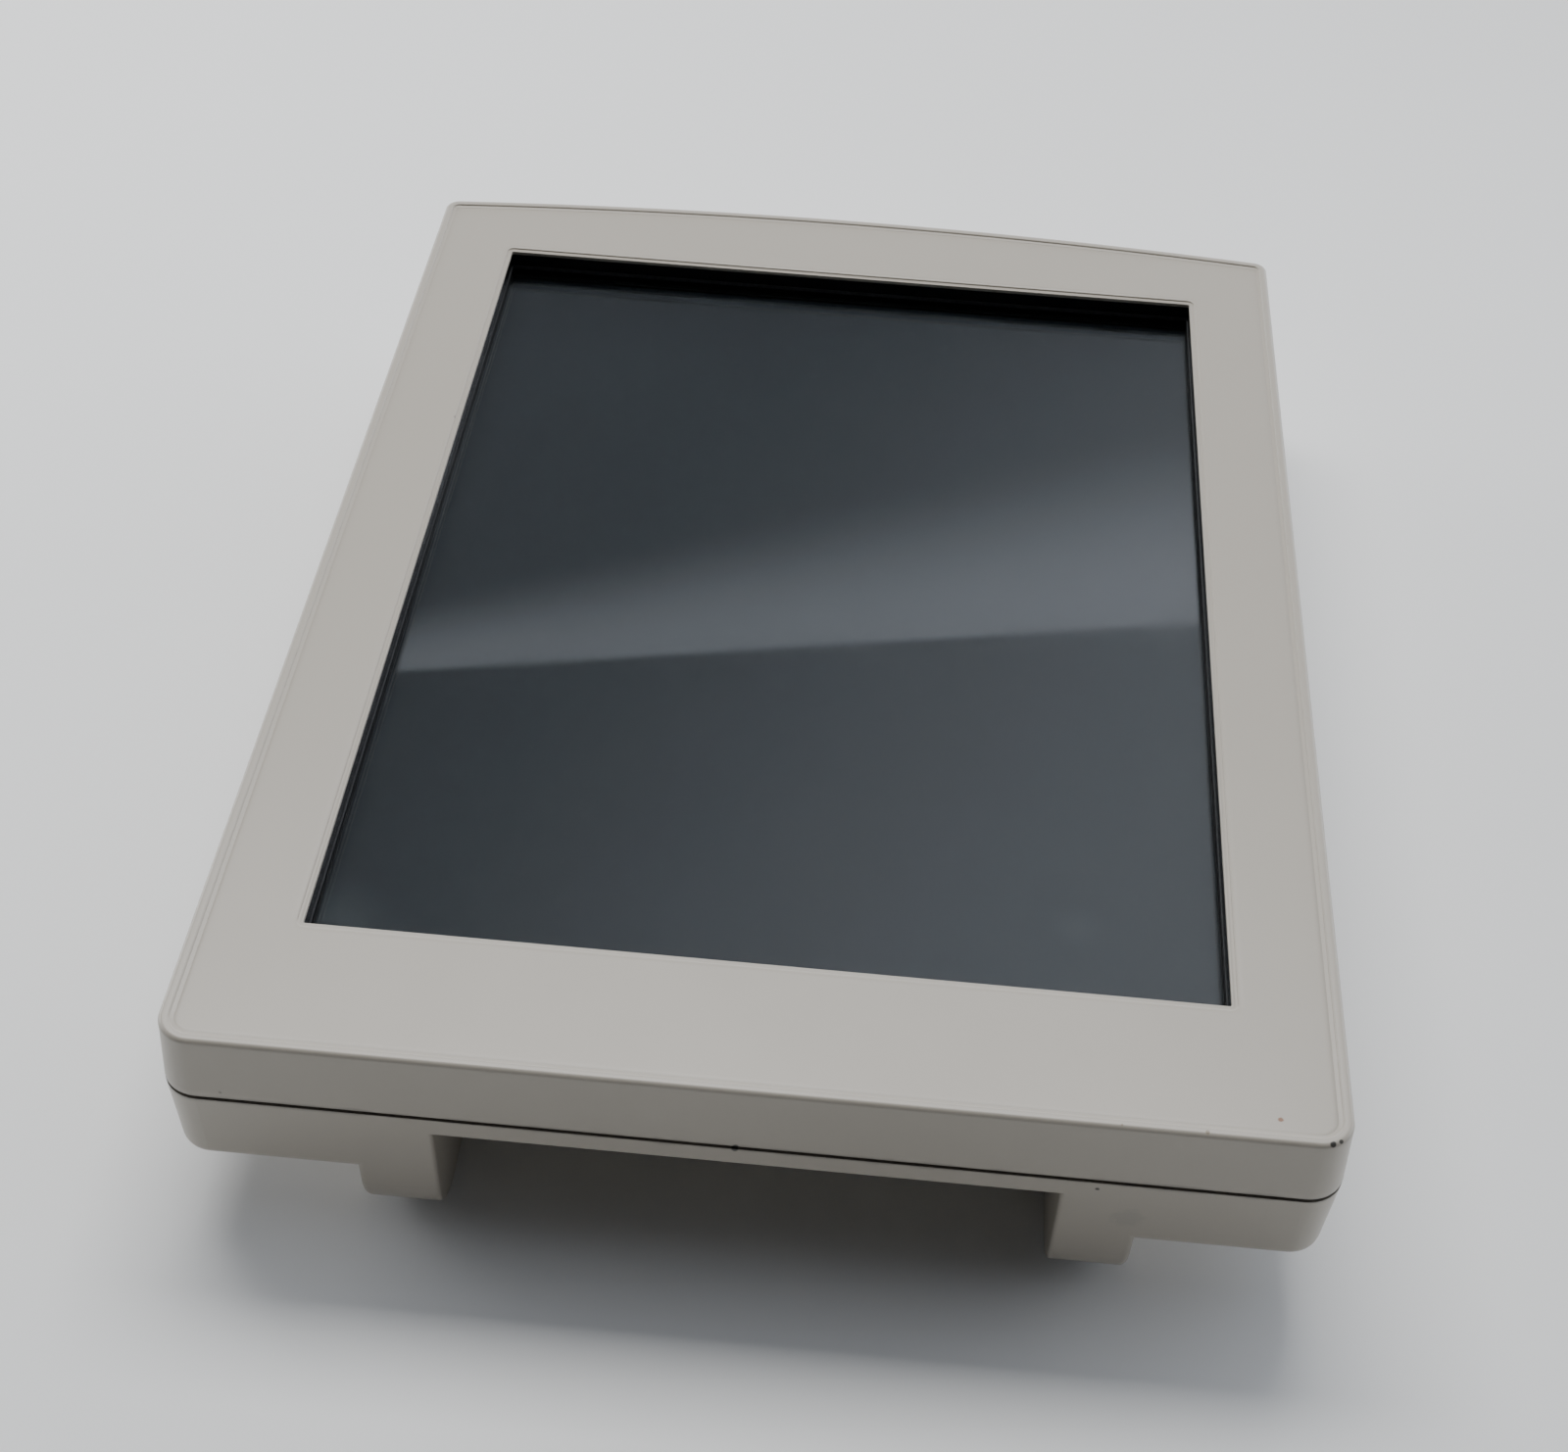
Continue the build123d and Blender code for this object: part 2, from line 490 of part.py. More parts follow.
# ---- chassis and mounting bracket -------------------------------------------------------
with BuildPart() as chassis_plate:
    block((-128.6, 128.6), (-112, 168), (CHASSIS_Z, CHASSIS_TOP))
    for x, y in CHASSIS_BOSSES:
        ends = sorted((x - math.copysign(9, x), x + math.copysign(4.5, x)))
        block(ends, (y - 6, y + 6), (CHASSIS_Z, CHASSIS_TOP))
    for x, y in CHASSIS_BOSSES + BRACKET_SCREWS + MOUNT_FEET + BOARD_SCREWS:
        post(x, y, (CHASSIS_Z - 1, CHASSIS_TOP + 1), SCREW_HOLE_R, Mode.SUBTRACT)
    block((6, 30), (122, 134), (CHASSIS_Z - 1, CHASSIS_TOP + 1), Mode.SUBTRACT)
keep(chassis_plate, "chassis_plate")

BRACKET_ENDS = (SCREEN_Y - 62, SCREEN_Y + 62)
BRACKET_Z = HUMP_Z + WALL + 0.1
BRACKET_T = 2.0

with BuildPart() as mount_bracket:
    block((-84, 84), BRACKET_ENDS, (BRACKET_Z, CHASSIS_Z))
    block(
        (-84 + BRACKET_T, 84 - BRACKET_T),
        (BRACKET_ENDS[0] - 1, BRACKET_ENDS[1] + 1),
        (BRACKET_Z + BRACKET_T, CHASSIS_Z + 1),
        Mode.SUBTRACT,
    )
    fillet(mount_bracket.edges().filter_by(Axis.Y).group_by(Axis.Z)[0], 2.0)
    for side in (-1, 1):
        block(sorted((side * 83.0, side * 96.0)), BRACKET_ENDS, (CHASSIS_Z - 1.5, CHASSIS_Z))
    for x, y in MOUNT_FEET:
        post(x, y, (CHASSIS_Z - 3, CHASSIS_Z + 1), SCREW_HOLE_R, Mode.SUBTRACT)
    for x, y in MOUNT_HOLES:
        post(x, y, (BRACKET_Z - 1, BRACKET_Z + 3), INSERT_R + 0.05, Mode.SUBTRACT)
keep(mount_bracket, "mount_bracket")

with BuildPart() as mount_inserts:
    for x, y in MOUNT_HOLES:
        post(x, y, (BRACKET_Z, BRACKET_Z + BRACKET_T), INSERT_R)
        post(x, y, (BRACKET_Z + BRACKET_T, BRACKET_Z + 7), INSERT_FLANGE_R)
    for x, y in MOUNT_HOLES:
        post(x, y, (BRACKET_Z - 1, BRACKET_Z + 8), MOUNT_BORE_R, Mode.SUBTRACT)
keep(mount_inserts, "mount_inserts")

POSTS_X = [
    centre + side * reach
    for centre, reach in ((DVI_X, DVI_SCREW_X), (VIDEO_X, VIDEO_SCREW_X))
    for side in (-1, 1)
]
PLATE_WINDOWS = [
    (SWITCH_X, 6.55, (16.8, 36.2)),
    (TERMINAL_X, 9.2, (21.9, 31.1)),
    (DVI_X, 12.6, (21.8, 31.2)),
    (VIDEO_X, 8.7, (22.0, 31.0)),
    (USB_X, 6.3, (20.6, 32.4)),
]

with BuildPart() as connector_plate:
    through = (PLATE_Y, PLATE_Y + SHEET_T)
    block((-76, 76), through, (8, 40.5))
    for x, half_w, heights in PLATE_WINDOWS:
        block((x - half_w, x + half_w), through, heights, Mode.SUBTRACT)
    for x in POSTS_X:
        rod_y(x, through, CONNECTOR_Z, SCREW_HOLE_R, Mode.SUBTRACT)
    for x, z in PLATE_SCREWS:
        rod_y(x, through, z, POST_BORE_R, Mode.SUBTRACT)
keep(connector_plate, "connector_plate")


# ---- boards and what stands on them -----------------------------------------------------
with BuildPart() as main_board:
    block((-77.5, 77.5), (-116.3, -15), (BOARD_Z, BOARD_BACK))
    block((-78, -51), (-117, -94), (BOARD_Z, BOARD_BACK), Mode.SUBTRACT)
    for x, y in BOARD_SCREWS:
        post(x, y, (BOARD_Z - 1, BOARD_BACK + 1), SCREW_HOLE_R, Mode.SUBTRACT)
keep(main_board, "main_board")

with BuildPart() as main_board_parts:
    for x, y, w, l, h in (
        (-30, -62, 27, 27, 2.0), (34, -80, 12, 20, 1.4), (52, -80, 12, 20, 1.4),
        (-62, -60, 16, 10, 1.8), (56, -48, 12, 8, 1.8), (10, -92, 10, 10, 1.4),
    ):
        block((x - w / 2, x + w / 2), (y - l / 2, y + l / 2), (BOARD_Z - h, BOARD_Z))
    for x, y in ((-50, -36), (-38, -36), (34, -34), (46, -30), (-64, -78)):
        post(x, y, (BOARD_Z - 9, BOARD_Z), 4.0)
    block((69, 77.5), (-99, -81), (BOARD_Z - 5, BOARD_Z))
    block((8, 28), (-24, -16), (BOARD_BACK, BOARD_BACK + 3.2))
keep(main_board_parts, "main_board_parts")

with BuildPart() as heat_sink:
    block((-44, -16), (-76, -48), (BOARD_Z - 5, BOARD_Z - 2.1))
    for i in range(8):
        block((-44 + i * 3.77, -42.4 + i * 3.77), (-76, -48), (BOARD_Z - 14, BOARD_Z - 5))
keep(heat_sink, "heat_sink")

with BuildPart() as power_board:
    block((-78, -8), (-5, 75), (BOARD_Z, BOARD_BACK))
    for x, y in BOARD_SCREWS:
        post(x, y, (BOARD_Z - 1, BOARD_BACK + 1), SCREW_HOLE_R, Mode.SUBTRACT)
keep(power_board, "power_board")

with BuildPart() as power_board_parts:
    block((-66, -54), (-4, 6), (BOARD_Z - 9, BOARD_Z))
    block((-52, -26), (24, 50), (BOARD_Z - 18, BOARD_Z))
    for x, y, r, h in ((-64, 22, 6.3, 20), (-64, 40, 6.3, 20), (-18, 24, 5, 16), (-18, 40, 5, 16)):
        post(x, y, (BOARD_Z - h, BOARD_Z), r)
    block((-46, -30), (58, 70), (BOARD_Z - 12, BOARD_Z))
    block((-44, -34), (2, 14), (BOARD_Z - 8, BOARD_Z))
keep(power_board_parts, "power_board_parts")

with BuildPart() as inverter_board:
    block((-124, -102), (-40, 90), (BOARD_Z, BOARD_BACK))
    for x, y in BOARD_SCREWS:
        post(x, y, (BOARD_Z - 1, BOARD_BACK + 1), SCREW_HOLE_R, Mode.SUBTRACT)
keep(inverter_board, "lamp_inverter_board")

with BuildPart() as inverter_parts:
    for y in (-8, 52):
        block((-121, -105), (y - 12, y + 12), (BOARD_Z - 6, BOARD_Z))
    block((-118, -107), (16, 26), (BOARD_Z - 2, BOARD_Z))
keep(inverter_parts, "lamp_inverter_transformers")

with BuildPart() as standoffs:
    for x, y in BOARD_SCREWS:
        with BuildSketch(Plane.XY.offset(BOARD_BACK)):
            with Locations((x, y)):
                RegularPolygon(2.75, 6, major_radius=False)
                Circle(1.5, mode=Mode.SUBTRACT)
        extrude(amount=CHASSIS_Z - BOARD_BACK)
keep(standoffs, "board_standoffs")

with BuildPart() as pan_screws:
    for places, seat, tip in (
        (CHASSIS_BOSSES, CHASSIS_Z, CHASSIS_Z + 9),
        (BRACKET_SCREWS, CHASSIS_Z, CHASSIS_Z + 3.8),
        (MOUNT_FEET, CHASSIS_Z - 1.5, CHASSIS_Z + 3),
        (BOARD_SCREWS, BOARD_Z, BOARD_Z + 6),
    ):
        for x, y in places:
            post(x, y, (seat - HEAD_T, seat), HEAD_R)
            post(x, y, (seat, tip), SCREW_R)
    for side, y in MODULE_SCREWS:
        rod_x(sorted((side * BRACKET_X, side * (BRACKET_X + HEAD_T))), y, MODULE_SCREW_Z, HEAD_R)
        rod_x(sorted((side * 124.8, side * BRACKET_X)), y, MODULE_SCREW_Z, SCREW_R)
    for x, z in PLATE_SCREWS:
        rod_y(x, (BAY_BACK_Y - HEAD_T, BAY_BACK_Y), z, HEAD_R)
        rod_y(x, (BAY_BACK_Y, PLATE_Y + 4), z, SCREW_R)
keep(pan_screws, "pan_head_screws")


# ---- sockets on the connector plate -----------------------------------------------------
BODY_Y = PLATE_Y + SHEET_T + 0.2
SHELL_Y = PLATE_Y - 5.2


def socket_face(x, y=SHELL_Y):
    """The plane of a socket's open end, facing the bay: its X runs along X, its Y up."""
    return Plane(origin=(x, y, CONNECTOR_Z), x_dir=(1, 0, 0), z_dir=(0, -1, 0))


with BuildPart() as dvi_socket:
    block((DVI_X - 19.5, DVI_X + 19.5), (BODY_Y, BODY_Y + 12), (20.5, BOARD_Z))
    with BuildSketch(socket_face(DVI_X)):
        RectangleRounded(24.4, 8.6, 1.6)
    extrude(amount=SHELL_Y - BODY_Y)
    with BuildSketch(socket_face(DVI_X)):
        RectangleRounded(23.4, 7.6, 1.2)
        with Locations((-2, 0)):
            RectangleRounded(17, 4.6, 0.6, mode=Mode.SUBTRACT)
    extrude(amount=-5.0, mode=Mode.SUBTRACT)
    for x in (DVI_X - DVI_SCREW_X, DVI_X + DVI_SCREW_X):
        rod_y(x, (BODY_Y - 1, BODY_Y + 13), CONNECTOR_Z, 1.55, Mode.SUBTRACT)
keep(dvi_socket, "dvi_socket")

with BuildPart() as video_socket:
    block((VIDEO_X - 15.4, VIDEO_X + 15.4), (BODY_Y, BODY_Y + 10), (20.3, BOARD_Z))
    with BuildSketch(socket_face(VIDEO_X)) as shell:
        Polygon((-8.3, 4.15), (8.3, 4.15), (7.0, -4.15), (-7.0, -4.15), align=None)
        fillet(shell.vertices(), 1.8)
    extrude(amount=SHELL_Y - BODY_Y)
    with BuildSketch(socket_face(VIDEO_X)) as pocket:
        Polygon((-7.6, 3.5), (7.6, 3.5), (6.4, -3.5), (-6.4, -3.5), align=None)
        fillet(pocket.vertices(), 1.3)
    extrude(amount=-1.2, mode=Mode.SUBTRACT)
    for row in (-1, 0, 1):
        for i in range(5):
            rod_y(
                VIDEO_X + (i - 2) * 2.3 + row * 0.5,
                (SHELL_Y, SHELL_Y + 5),
                CONNECTOR_Z + row * 1.9,
                0.45,
                Mode.SUBTRACT,
            )
    for x in (VIDEO_X - VIDEO_SCREW_X, VIDEO_X + VIDEO_SCREW_X):
        rod_y(x, (BODY_Y - 1, BODY_Y + 11), CONNECTOR_Z, 1.55, Mode.SUBTRACT)
keep(video_socket, "video_socket")

with BuildPart() as usb_socket:
    block((USB_X - 6.0, USB_X + 6.0), (PLATE_Y - 1.0, BODY_Y + 1), (21.0, 32.0))
    block((USB_X - 6.0, USB_X + 6.0), (BODY_Y, BODY_Y + 15), (21.0, BOARD_Z))
    with BuildSketch(socket_face(USB_X, PLATE_Y - 1.0)) as pocket:
        Rectangle(8.6, 8.0)
        chamfer(pocket.vertices().group_by(Axis.Y)[-1], 1.8)
        Rectangle(5.6, 3.2, mode=Mode.SUBTRACT)
    extrude(amount=-9, mode=Mode.SUBTRACT)
keep(usb_socket, "usb_socket")

with BuildPart() as power_terminal:
    block((TERMINAL_X - 9.0, TERMINAL_X + 9.0), (PLATE_Y - 1.0, BODY_Y + 12), (22.1, 30.9))
    block((TERMINAL_X - 6.0, TERMINAL_X + 6.0), (BODY_Y + 4, BODY_Y + 11), (30.5, BOARD_Z))
    block(
        (TERMINAL_X - 8.2, TERMINAL_X + 8.2),
        (PLATE_Y - 2, PLATE_Y + 8),
        (22.9, 30.1),
        Mode.SUBTRACT,
    )
    for i in (-1, 0, 1):
        x = TERMINAL_X + i * 5.08
        block((x - 0.6, x + 0.6), (PLATE_Y, PLATE_Y + 9), (26.0, 27.0))
keep(power_terminal, "power_terminal")

with BuildPart() as jack_posts:
    for x in POSTS_X:
        with BuildSketch(socket_face(x, PLATE_Y)):
            RegularPolygon(2.4, 6, major_radius=False)
            Circle(1.3, mode=Mode.SUBTRACT)
        extrude(amount=4.8)
        rod_y(x, (PLATE_Y - 0.5, PLATE_Y + 5), CONNECTOR_Z, 1.5)
keep(jack_posts, "jack_posts")


# ---- power switch -----------------------------------------------------------------------
FLANGE_Y = PLATE_Y - 2.0
PIVOT_Y = PLATE_Y + 0.2
WINDOW_HALF = (6.0, 9.3)

with BuildPart() as switch_housing:
    block((SWITCH_X - 7.4, SWITCH_X + 7.4), (FLANGE_Y, PLATE_Y), (15.9, 37.1))
    fillet(switch_housing.edges().filter_by(Axis.Y), 1.2)
    block(
        (SWITCH_X - 6.45, SWITCH_X + 6.45), (PLATE_Y, PLATE_Y + 15), (16.95, 36.05)
    )
    block(
        (SWITCH_X - WINDOW_HALF[0], SWITCH_X + WINDOW_HALF[0]),
        (FLANGE_Y - 1, PLATE_Y + 4),
        (CONNECTOR_Z - WINDOW_HALF[1], CONNECTOR_Z + WINDOW_HALF[1]),
        Mode.SUBTRACT,
    )
    rod_x((SWITCH_X - 6.5, SWITCH_X + 6.5), PIVOT_Y, CONNECTOR_Z, 1.26, Mode.SUBTRACT)
    for z in (-6.5, 0, 6.5):
        block(
            (SWITCH_X - 2.4, SWITCH_X + 2.4),
            (PLATE_Y + 15, PLATE_Y + 22),
            (CONNECTOR_Z + z - 0.4, CONNECTOR_Z + z + 0.4),
        )
keep(switch_housing, "power_switch_housing")

tilt = math.radians(ROCKER_TILT)
with BuildPart() as rocker:
    rocker_plane = Plane(
        origin=(SWITCH_X - 5.7, PIVOT_Y, CONNECTOR_Z),
        x_dir=(0, -math.sin(tilt), math.cos(tilt)),
        z_dir=(1, 0, 0),
    )
    with BuildSketch(rocker_plane) as rocker_side:
        Polygon(
            (-8.5, -0.5), (8.5, -0.5), (8.5, 4.7), (0, 2.9), (-8.5, 4.7), align=None
        )
        fillet(rocker_side.vertices().group_by(Axis.Y)[-1], 0.8)
    extrude(amount=11.4)
    rod_x((SWITCH_X - 6.25, SWITCH_X + 6.25), PIVOT_Y, CONNECTOR_Z, 1.2)
keep(rocker, "power_switch_rocker")


# ---- adjustment buttons in the rear cover -----------------------------------------------
with BuildPart() as osd_board:
    block(
        (BUTTON_X - 8, BUTTON_X + 7), (BUTTON_YS[0] - 13, BUTTON_YS[-1] + 13), (BOARD_Z, BOARD_BACK)
    )
    for x, y in OSD_BOSSES:
        post(x, y, (BOARD_Z - 1, BOARD_BACK + 1), 1.35, Mode.SUBTRACT)
    block((BUTTON_X - 8, BUTTON_X - 3), (BUTTON_YS[0] - 5, BUTTON_YS[0] + 5), (BOARD_BACK, 37.6))
keep(osd_board, "button_board")

with BuildPart() as osd_switches:
    for y in BUTTON_YS:
        block((BUTTON_X - 3, BUTTON_X + 3), (y - 3, y + 3), (29.5, BOARD_Z))
        post(BUTTON_X, y, (29, 32.2), 1.8, Mode.SUBTRACT)
keep(osd_switches, "button_switches")

for name, y in zip(BUTTON_NAMES, BUTTON_YS):
    with BuildPart() as button:
        post(BUTTON_X, y, (TRAY_Z - BUTTON_PROUD, TRAY_Z + WALL + 0.4), BUTTON_R)
        fillet(button.edges().filter_by(GeomType.CIRCLE).group_by(Axis.Z)[0], 0.5)
        post(BUTTON_X, y, (TRAY_Z + WALL + 0.2, TRAY_Z + WALL + 1.2), BUTTON_R + 1.2)
        post(BUTTON_X, y, (TRAY_Z + WALL + 1.2, 31.2), 1.72)
    keep(button, f"{name}_button")


# ---- leads held inside the housing ------------------------------------------------------
def lead(points, bend, radius):
    """A round lead through the points, with arcs of radius bend where it turns."""
    with BuildPart() as tube:
        with BuildLine() as route:
            FilletPolyline(*points, radius=bend)
        with BuildSketch(Plane(origin=route.wire() @ 0, z_dir=route.wire() % 0)):
            Circle(radius)
        sweep()
    return tube.part


with BuildPart() as lamp_leads:
    add(lead(
        [(-LAMP_X, -160.0, LAMP_Z), (-LAMP_X, -168, LAMP_Z), (-LAMP_X, -169, 38), (-LAMP_X, -130, 32),
         (-112, -66, 33.8), (-112, -40.1, 33.8)],
        4.0, 0.9,
    ))
    add(lead(
        [(LAMP_X, -160.0, LAMP_Z), (LAMP_X, -168, LAMP_Z), (60, -169, 50), (-60, -167, 51),
         (-108, -169, 49), (-114, -164, 36), (-113, -130, 29), (-118, -66, 30),
         (-120, -54, 33.8), (-120, -40.1, 33.8)],
        3.0, 0.9,
    ))
keep(lamp_leads, "lamp_leads")

with BuildPart() as signal_leads:
    add(lead(
        [(49.5, -183.1, 59.9), (49.5, -187, 59.9), (53, -187, 51), (86, -186.5, 49.5),
         (88, -182, 40), (88, -170, 31), (88, -112, 30.5), (87, -90, 30.5), (77.6, -90, 30.5)],
        3.0, 1.5,
    ))
    add(lead(
        [(111.9, -26, 36.2), (103, -26, 36.2), (98, -62, 34), (90, -84, 30.5), (77.6, -84, 30.5)],
        4.0, 1.2,
    ))
keep(signal_leads, "signal_leads")

with BuildPart() as power_lead:
    add(lead(
        [(TERMINAL_X, BODY_Y + 12.1, 26), (TERMINAL_X, -92, 26), (-56, -72, 15),
         (-60, -32, 15), (-60, -16, 28), (-60, -4.1, 28)],
        5.0, 2.2,
    ))
keep(power_lead, "power_lead")

with BuildPart() as display_ribbon:
    with BuildLine() as route:
        FilletPolyline(
            (18, -15.95, 36.6), (18, 6, 38.8), (18, 122, 38.8), (18, 130, 44.0), (18, 136.95, 44.0),
            radius=3,
        )
    with BuildSketch(Plane(origin=route.wire() @ 0, x_dir=(1, 0, 0), z_dir=route.wire() % 0)):
        Rectangle(16, 0.5)
    sweep()
keep(display_ribbon, "display_ribbon")
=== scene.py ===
import bmesh
import bpy
import numpy as np
from mathutils import Matrix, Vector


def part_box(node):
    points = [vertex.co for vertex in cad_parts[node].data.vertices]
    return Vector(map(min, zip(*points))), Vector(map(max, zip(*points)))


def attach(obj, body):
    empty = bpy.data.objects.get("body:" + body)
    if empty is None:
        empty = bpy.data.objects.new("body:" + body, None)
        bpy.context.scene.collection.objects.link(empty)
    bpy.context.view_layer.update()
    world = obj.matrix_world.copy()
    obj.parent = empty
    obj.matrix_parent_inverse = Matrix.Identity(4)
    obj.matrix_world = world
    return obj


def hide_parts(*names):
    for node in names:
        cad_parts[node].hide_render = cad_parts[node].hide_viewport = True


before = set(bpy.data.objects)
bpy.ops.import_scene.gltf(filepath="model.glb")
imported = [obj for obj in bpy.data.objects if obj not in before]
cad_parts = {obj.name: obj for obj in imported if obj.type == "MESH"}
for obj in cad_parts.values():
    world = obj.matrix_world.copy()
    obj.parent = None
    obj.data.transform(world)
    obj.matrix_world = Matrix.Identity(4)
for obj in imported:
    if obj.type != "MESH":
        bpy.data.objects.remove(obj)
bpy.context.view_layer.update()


# ---- camera ------------------------------------------------------------------------------
# The view of someone who stands at the near edge: about 40 degrees above the table, far
# enough back that the whole panel shows.
EYE = (0.0235, -0.54535, 0.5269)
EYE_RIGHT = (0.99552, 0.08774, 0.0351)
EYE_UP = (-0.08594, 0.6861, 0.72242)
EYE_BACK = (0.0393, -0.7222, 0.69057)

camera_data = bpy.data.cameras.new("camera")
camera_data.sensor_width = 36.0
camera_data.lens = 55.07
camera = bpy.data.objects.new("camera", camera_data)
bpy.context.scene.collection.objects.link(camera)
camera.matrix_world = Matrix([*zip(EYE_RIGHT, EYE_UP, EYE_BACK, EYE), (0, 0, 0, 1)])
bpy.context.scene.camera = camera


# ---- floor -------------------------------------------------------------------------------
# A plain pale board that the panel lies on. It isn't part of the object.
FLOOR_REACH, FLOOR_POINTS = 4000.0, 9
FLOOR_LIGHT, FLOOR_DARK = "#f5f5f3", "#f0f0ee"
FLOOR_CLOUD = 0.25


def linear(colour, alpha=1.0):
    """A hex sRGB colour as linear red, green, blue and alpha: the sRGB curve is a straight
    line of slope 12.92 near black and a power of 2.4 above it."""
    channels = np.array([int(colour[i : i + 2], 16) / 255 for i in (1, 3, 5)])
    curve = np.where(channels <= 0.04045, channels / 12.92, ((channels + 0.055) / 1.055) ** 2.4)
    return (*curve.tolist(), alpha)


def put(tree, kind, inputs=None, **settings):
    """Adds one node of this kind to the tree. Settings are its own properties. Inputs are
    plain values, or the outputs of other nodes, by the input's name or number."""
    made = tree.nodes.new(kind)
    for name, value in settings.items():
        setattr(made, name, value)
    for key, value in (inputs or {}).items():
        if isinstance(value, bpy.types.NodeSocket):
            tree.links.new(value, made.inputs[key])
        else:
            made.inputs[key].default_value = value
    return made


def start_material(name, inputs):
    """A new material with its Principled shader's inputs set to plain values. Returns the
    material, its node tree and the shader."""
    material = bpy.data.materials.new(name)
    material.use_nodes = True
    shader = material.node_tree.nodes["Principled BSDF"]
    for key, value in inputs.items():
        shader.inputs[key].default_value = value
    return material, material.node_tree, shader


def grid_faces(rows, columns, ring_rows=False, ring_columns=True):
    """The quads of a grid of rows times columns points, numbered row by row. A ring joins
    its last row or column back to its first."""
    row = np.arange(rows if ring_rows else rows - 1)
    column = np.arange(columns if ring_columns else columns - 1)
    row, column = np.meshgrid(row, column, indexing="ij")
    below, beside = (row + 1) % rows, (column + 1) % columns
    corners = [row * columns + column, row * columns + beside]
    corners += [below * columns + beside, below * columns + column]
    return np.stack(corners, axis=-1).reshape(-1, 4)


def mesh_piece(name, points, faces, material, sharp=35.0):
    """Makes an object from points in millimetres and quads. Points that meet are joined,
    which closes seams and poles, and edges sharper than the angle stay sharp."""
    mesh = bpy.data.meshes.new(name)
    mesh.from_pydata((np.asarray(points, float) * 0.001).tolist(), [], faces.tolist())
    shape = bmesh.new()
    shape.from_mesh(mesh)
    bmesh.ops.remove_doubles(shape, verts=shape.verts, dist=1e-6)
    shape.to_mesh(mesh)
    shape.free()
    mesh.shade_smooth()
    mesh.set_sharp_from_angle(angle=np.radians(sharp))
    mesh.materials.append(material)
    made = bpy.data.objects.new(name, mesh)
    bpy.context.scene.collection.objects.link(made)
    return made


# A mix node of colours numbers its sockets so.
MIX_A, MIX_B, MIXED = 6, 7, 2

# Matt painted board: only a broad, faint cloudiness, and no gloss to speak of.
painted_board, tree, shader = start_material("matt_painted_board", {"Roughness": 0.9})
place = put(tree, "ShaderNodeTexCoord").outputs["Object"]
cloud = put(tree, "ShaderNodeTexNoise", {"Vector": place, "Scale": 1 / FLOOR_CLOUD, "Detail": 2.0})
tint = put(
    tree,
    "ShaderNodeMix",
    {0: cloud.outputs["Fac"], MIX_A: linear(FLOOR_LIGHT), MIX_B: linear(FLOOR_DARK)},
    data_type="RGBA",
)
tree.links.new(tint.outputs[MIXED], shader.inputs["Base Color"])

floor_steps = np.linspace(-FLOOR_REACH, FLOOR_REACH, FLOOR_POINTS)
floor_x, floor_y = np.meshgrid(floor_steps, floor_steps)
floor = mesh_piece(
    "floor",
    np.stack([floor_x, floor_y, np.zeros_like(floor_x)], axis=-1).reshape(-1, 3),
    grid_faces(FLOOR_POINTS, FLOOR_POINTS, ring_columns=False),
    painted_board,
)


# ---- light -------------------------------------------------------------------------------
# A plain white room, bright behind the panel and dim in front of it, where the viewer
# stands, with one wide soft lamp overhead and a small window to the left. A strip of the
# ceiling is brighter, and its edge mirrors across the glass.
ROOM_COLOUR, ROOM_FRONT, ROOM_BACK = "#eef4ff", 0.02, 0.52
CEILING_LOW, CEILING_HIGH, CEILING_TILT = 0.28, 1.7, 0.85
STRIP_LIGHT, STRIP_START, STRIP_SKEW = 0.72, 1.126, 0.22
STRIP_WIDTH, STRIP_FLARE = 0.13, 0.24
STRIP_EDGE, STRIP_FADE, LOWEST = 0.008, (0.2, 1.3), 0.02
ROOM_FADE, CEILING_FADE, WALL_FADE = (-0.32, 0.15), (0.5, 0.9), (0.3, 0.46)
WALL_LIGHT = 5.2
LAMP_PLACE, LAMP_TURN = (-0.25, 0.64, 1.6), (-0.45, 0.0, 0.0)
LAMP_SIZE, LAMP_POWER, LAMP_SPREAD = (1.5, 0.6), 20.5, 150.0
WINDOW_PLACE, WINDOW_TURN = (-1.3, 0.6, 0.35), (1.33, 0.0, -1.14)
WINDOW_SIZE, WINDOW_POWER, WINDOW_SPREAD = (0.8, 0.5), 7.0, 180.0

world = bpy.data.worlds.new("white_room")
bpy.context.scene.world = world
world.use_nodes = True
tree = world.node_tree
tree.nodes["Background"].inputs["Color"].default_value = linear(ROOM_COLOUR)
look = put(tree, "ShaderNodeSeparateXYZ", {0: put(tree, "ShaderNodeTexCoord").outputs["Generated"]})
height = put(tree, "ShaderNodeMath", {0: look.outputs["Z"], 1: LOWEST}, operation="MAXIMUM")
across = put(
    tree, "ShaderNodeMath", {0: look.outputs["X"], 1: height.outputs[0]}, operation="DIVIDE"
)
along = put(
    tree, "ShaderNodeMath", {0: look.outputs["Y"], 1: height.outputs[0]}, operation="DIVIDE"
)
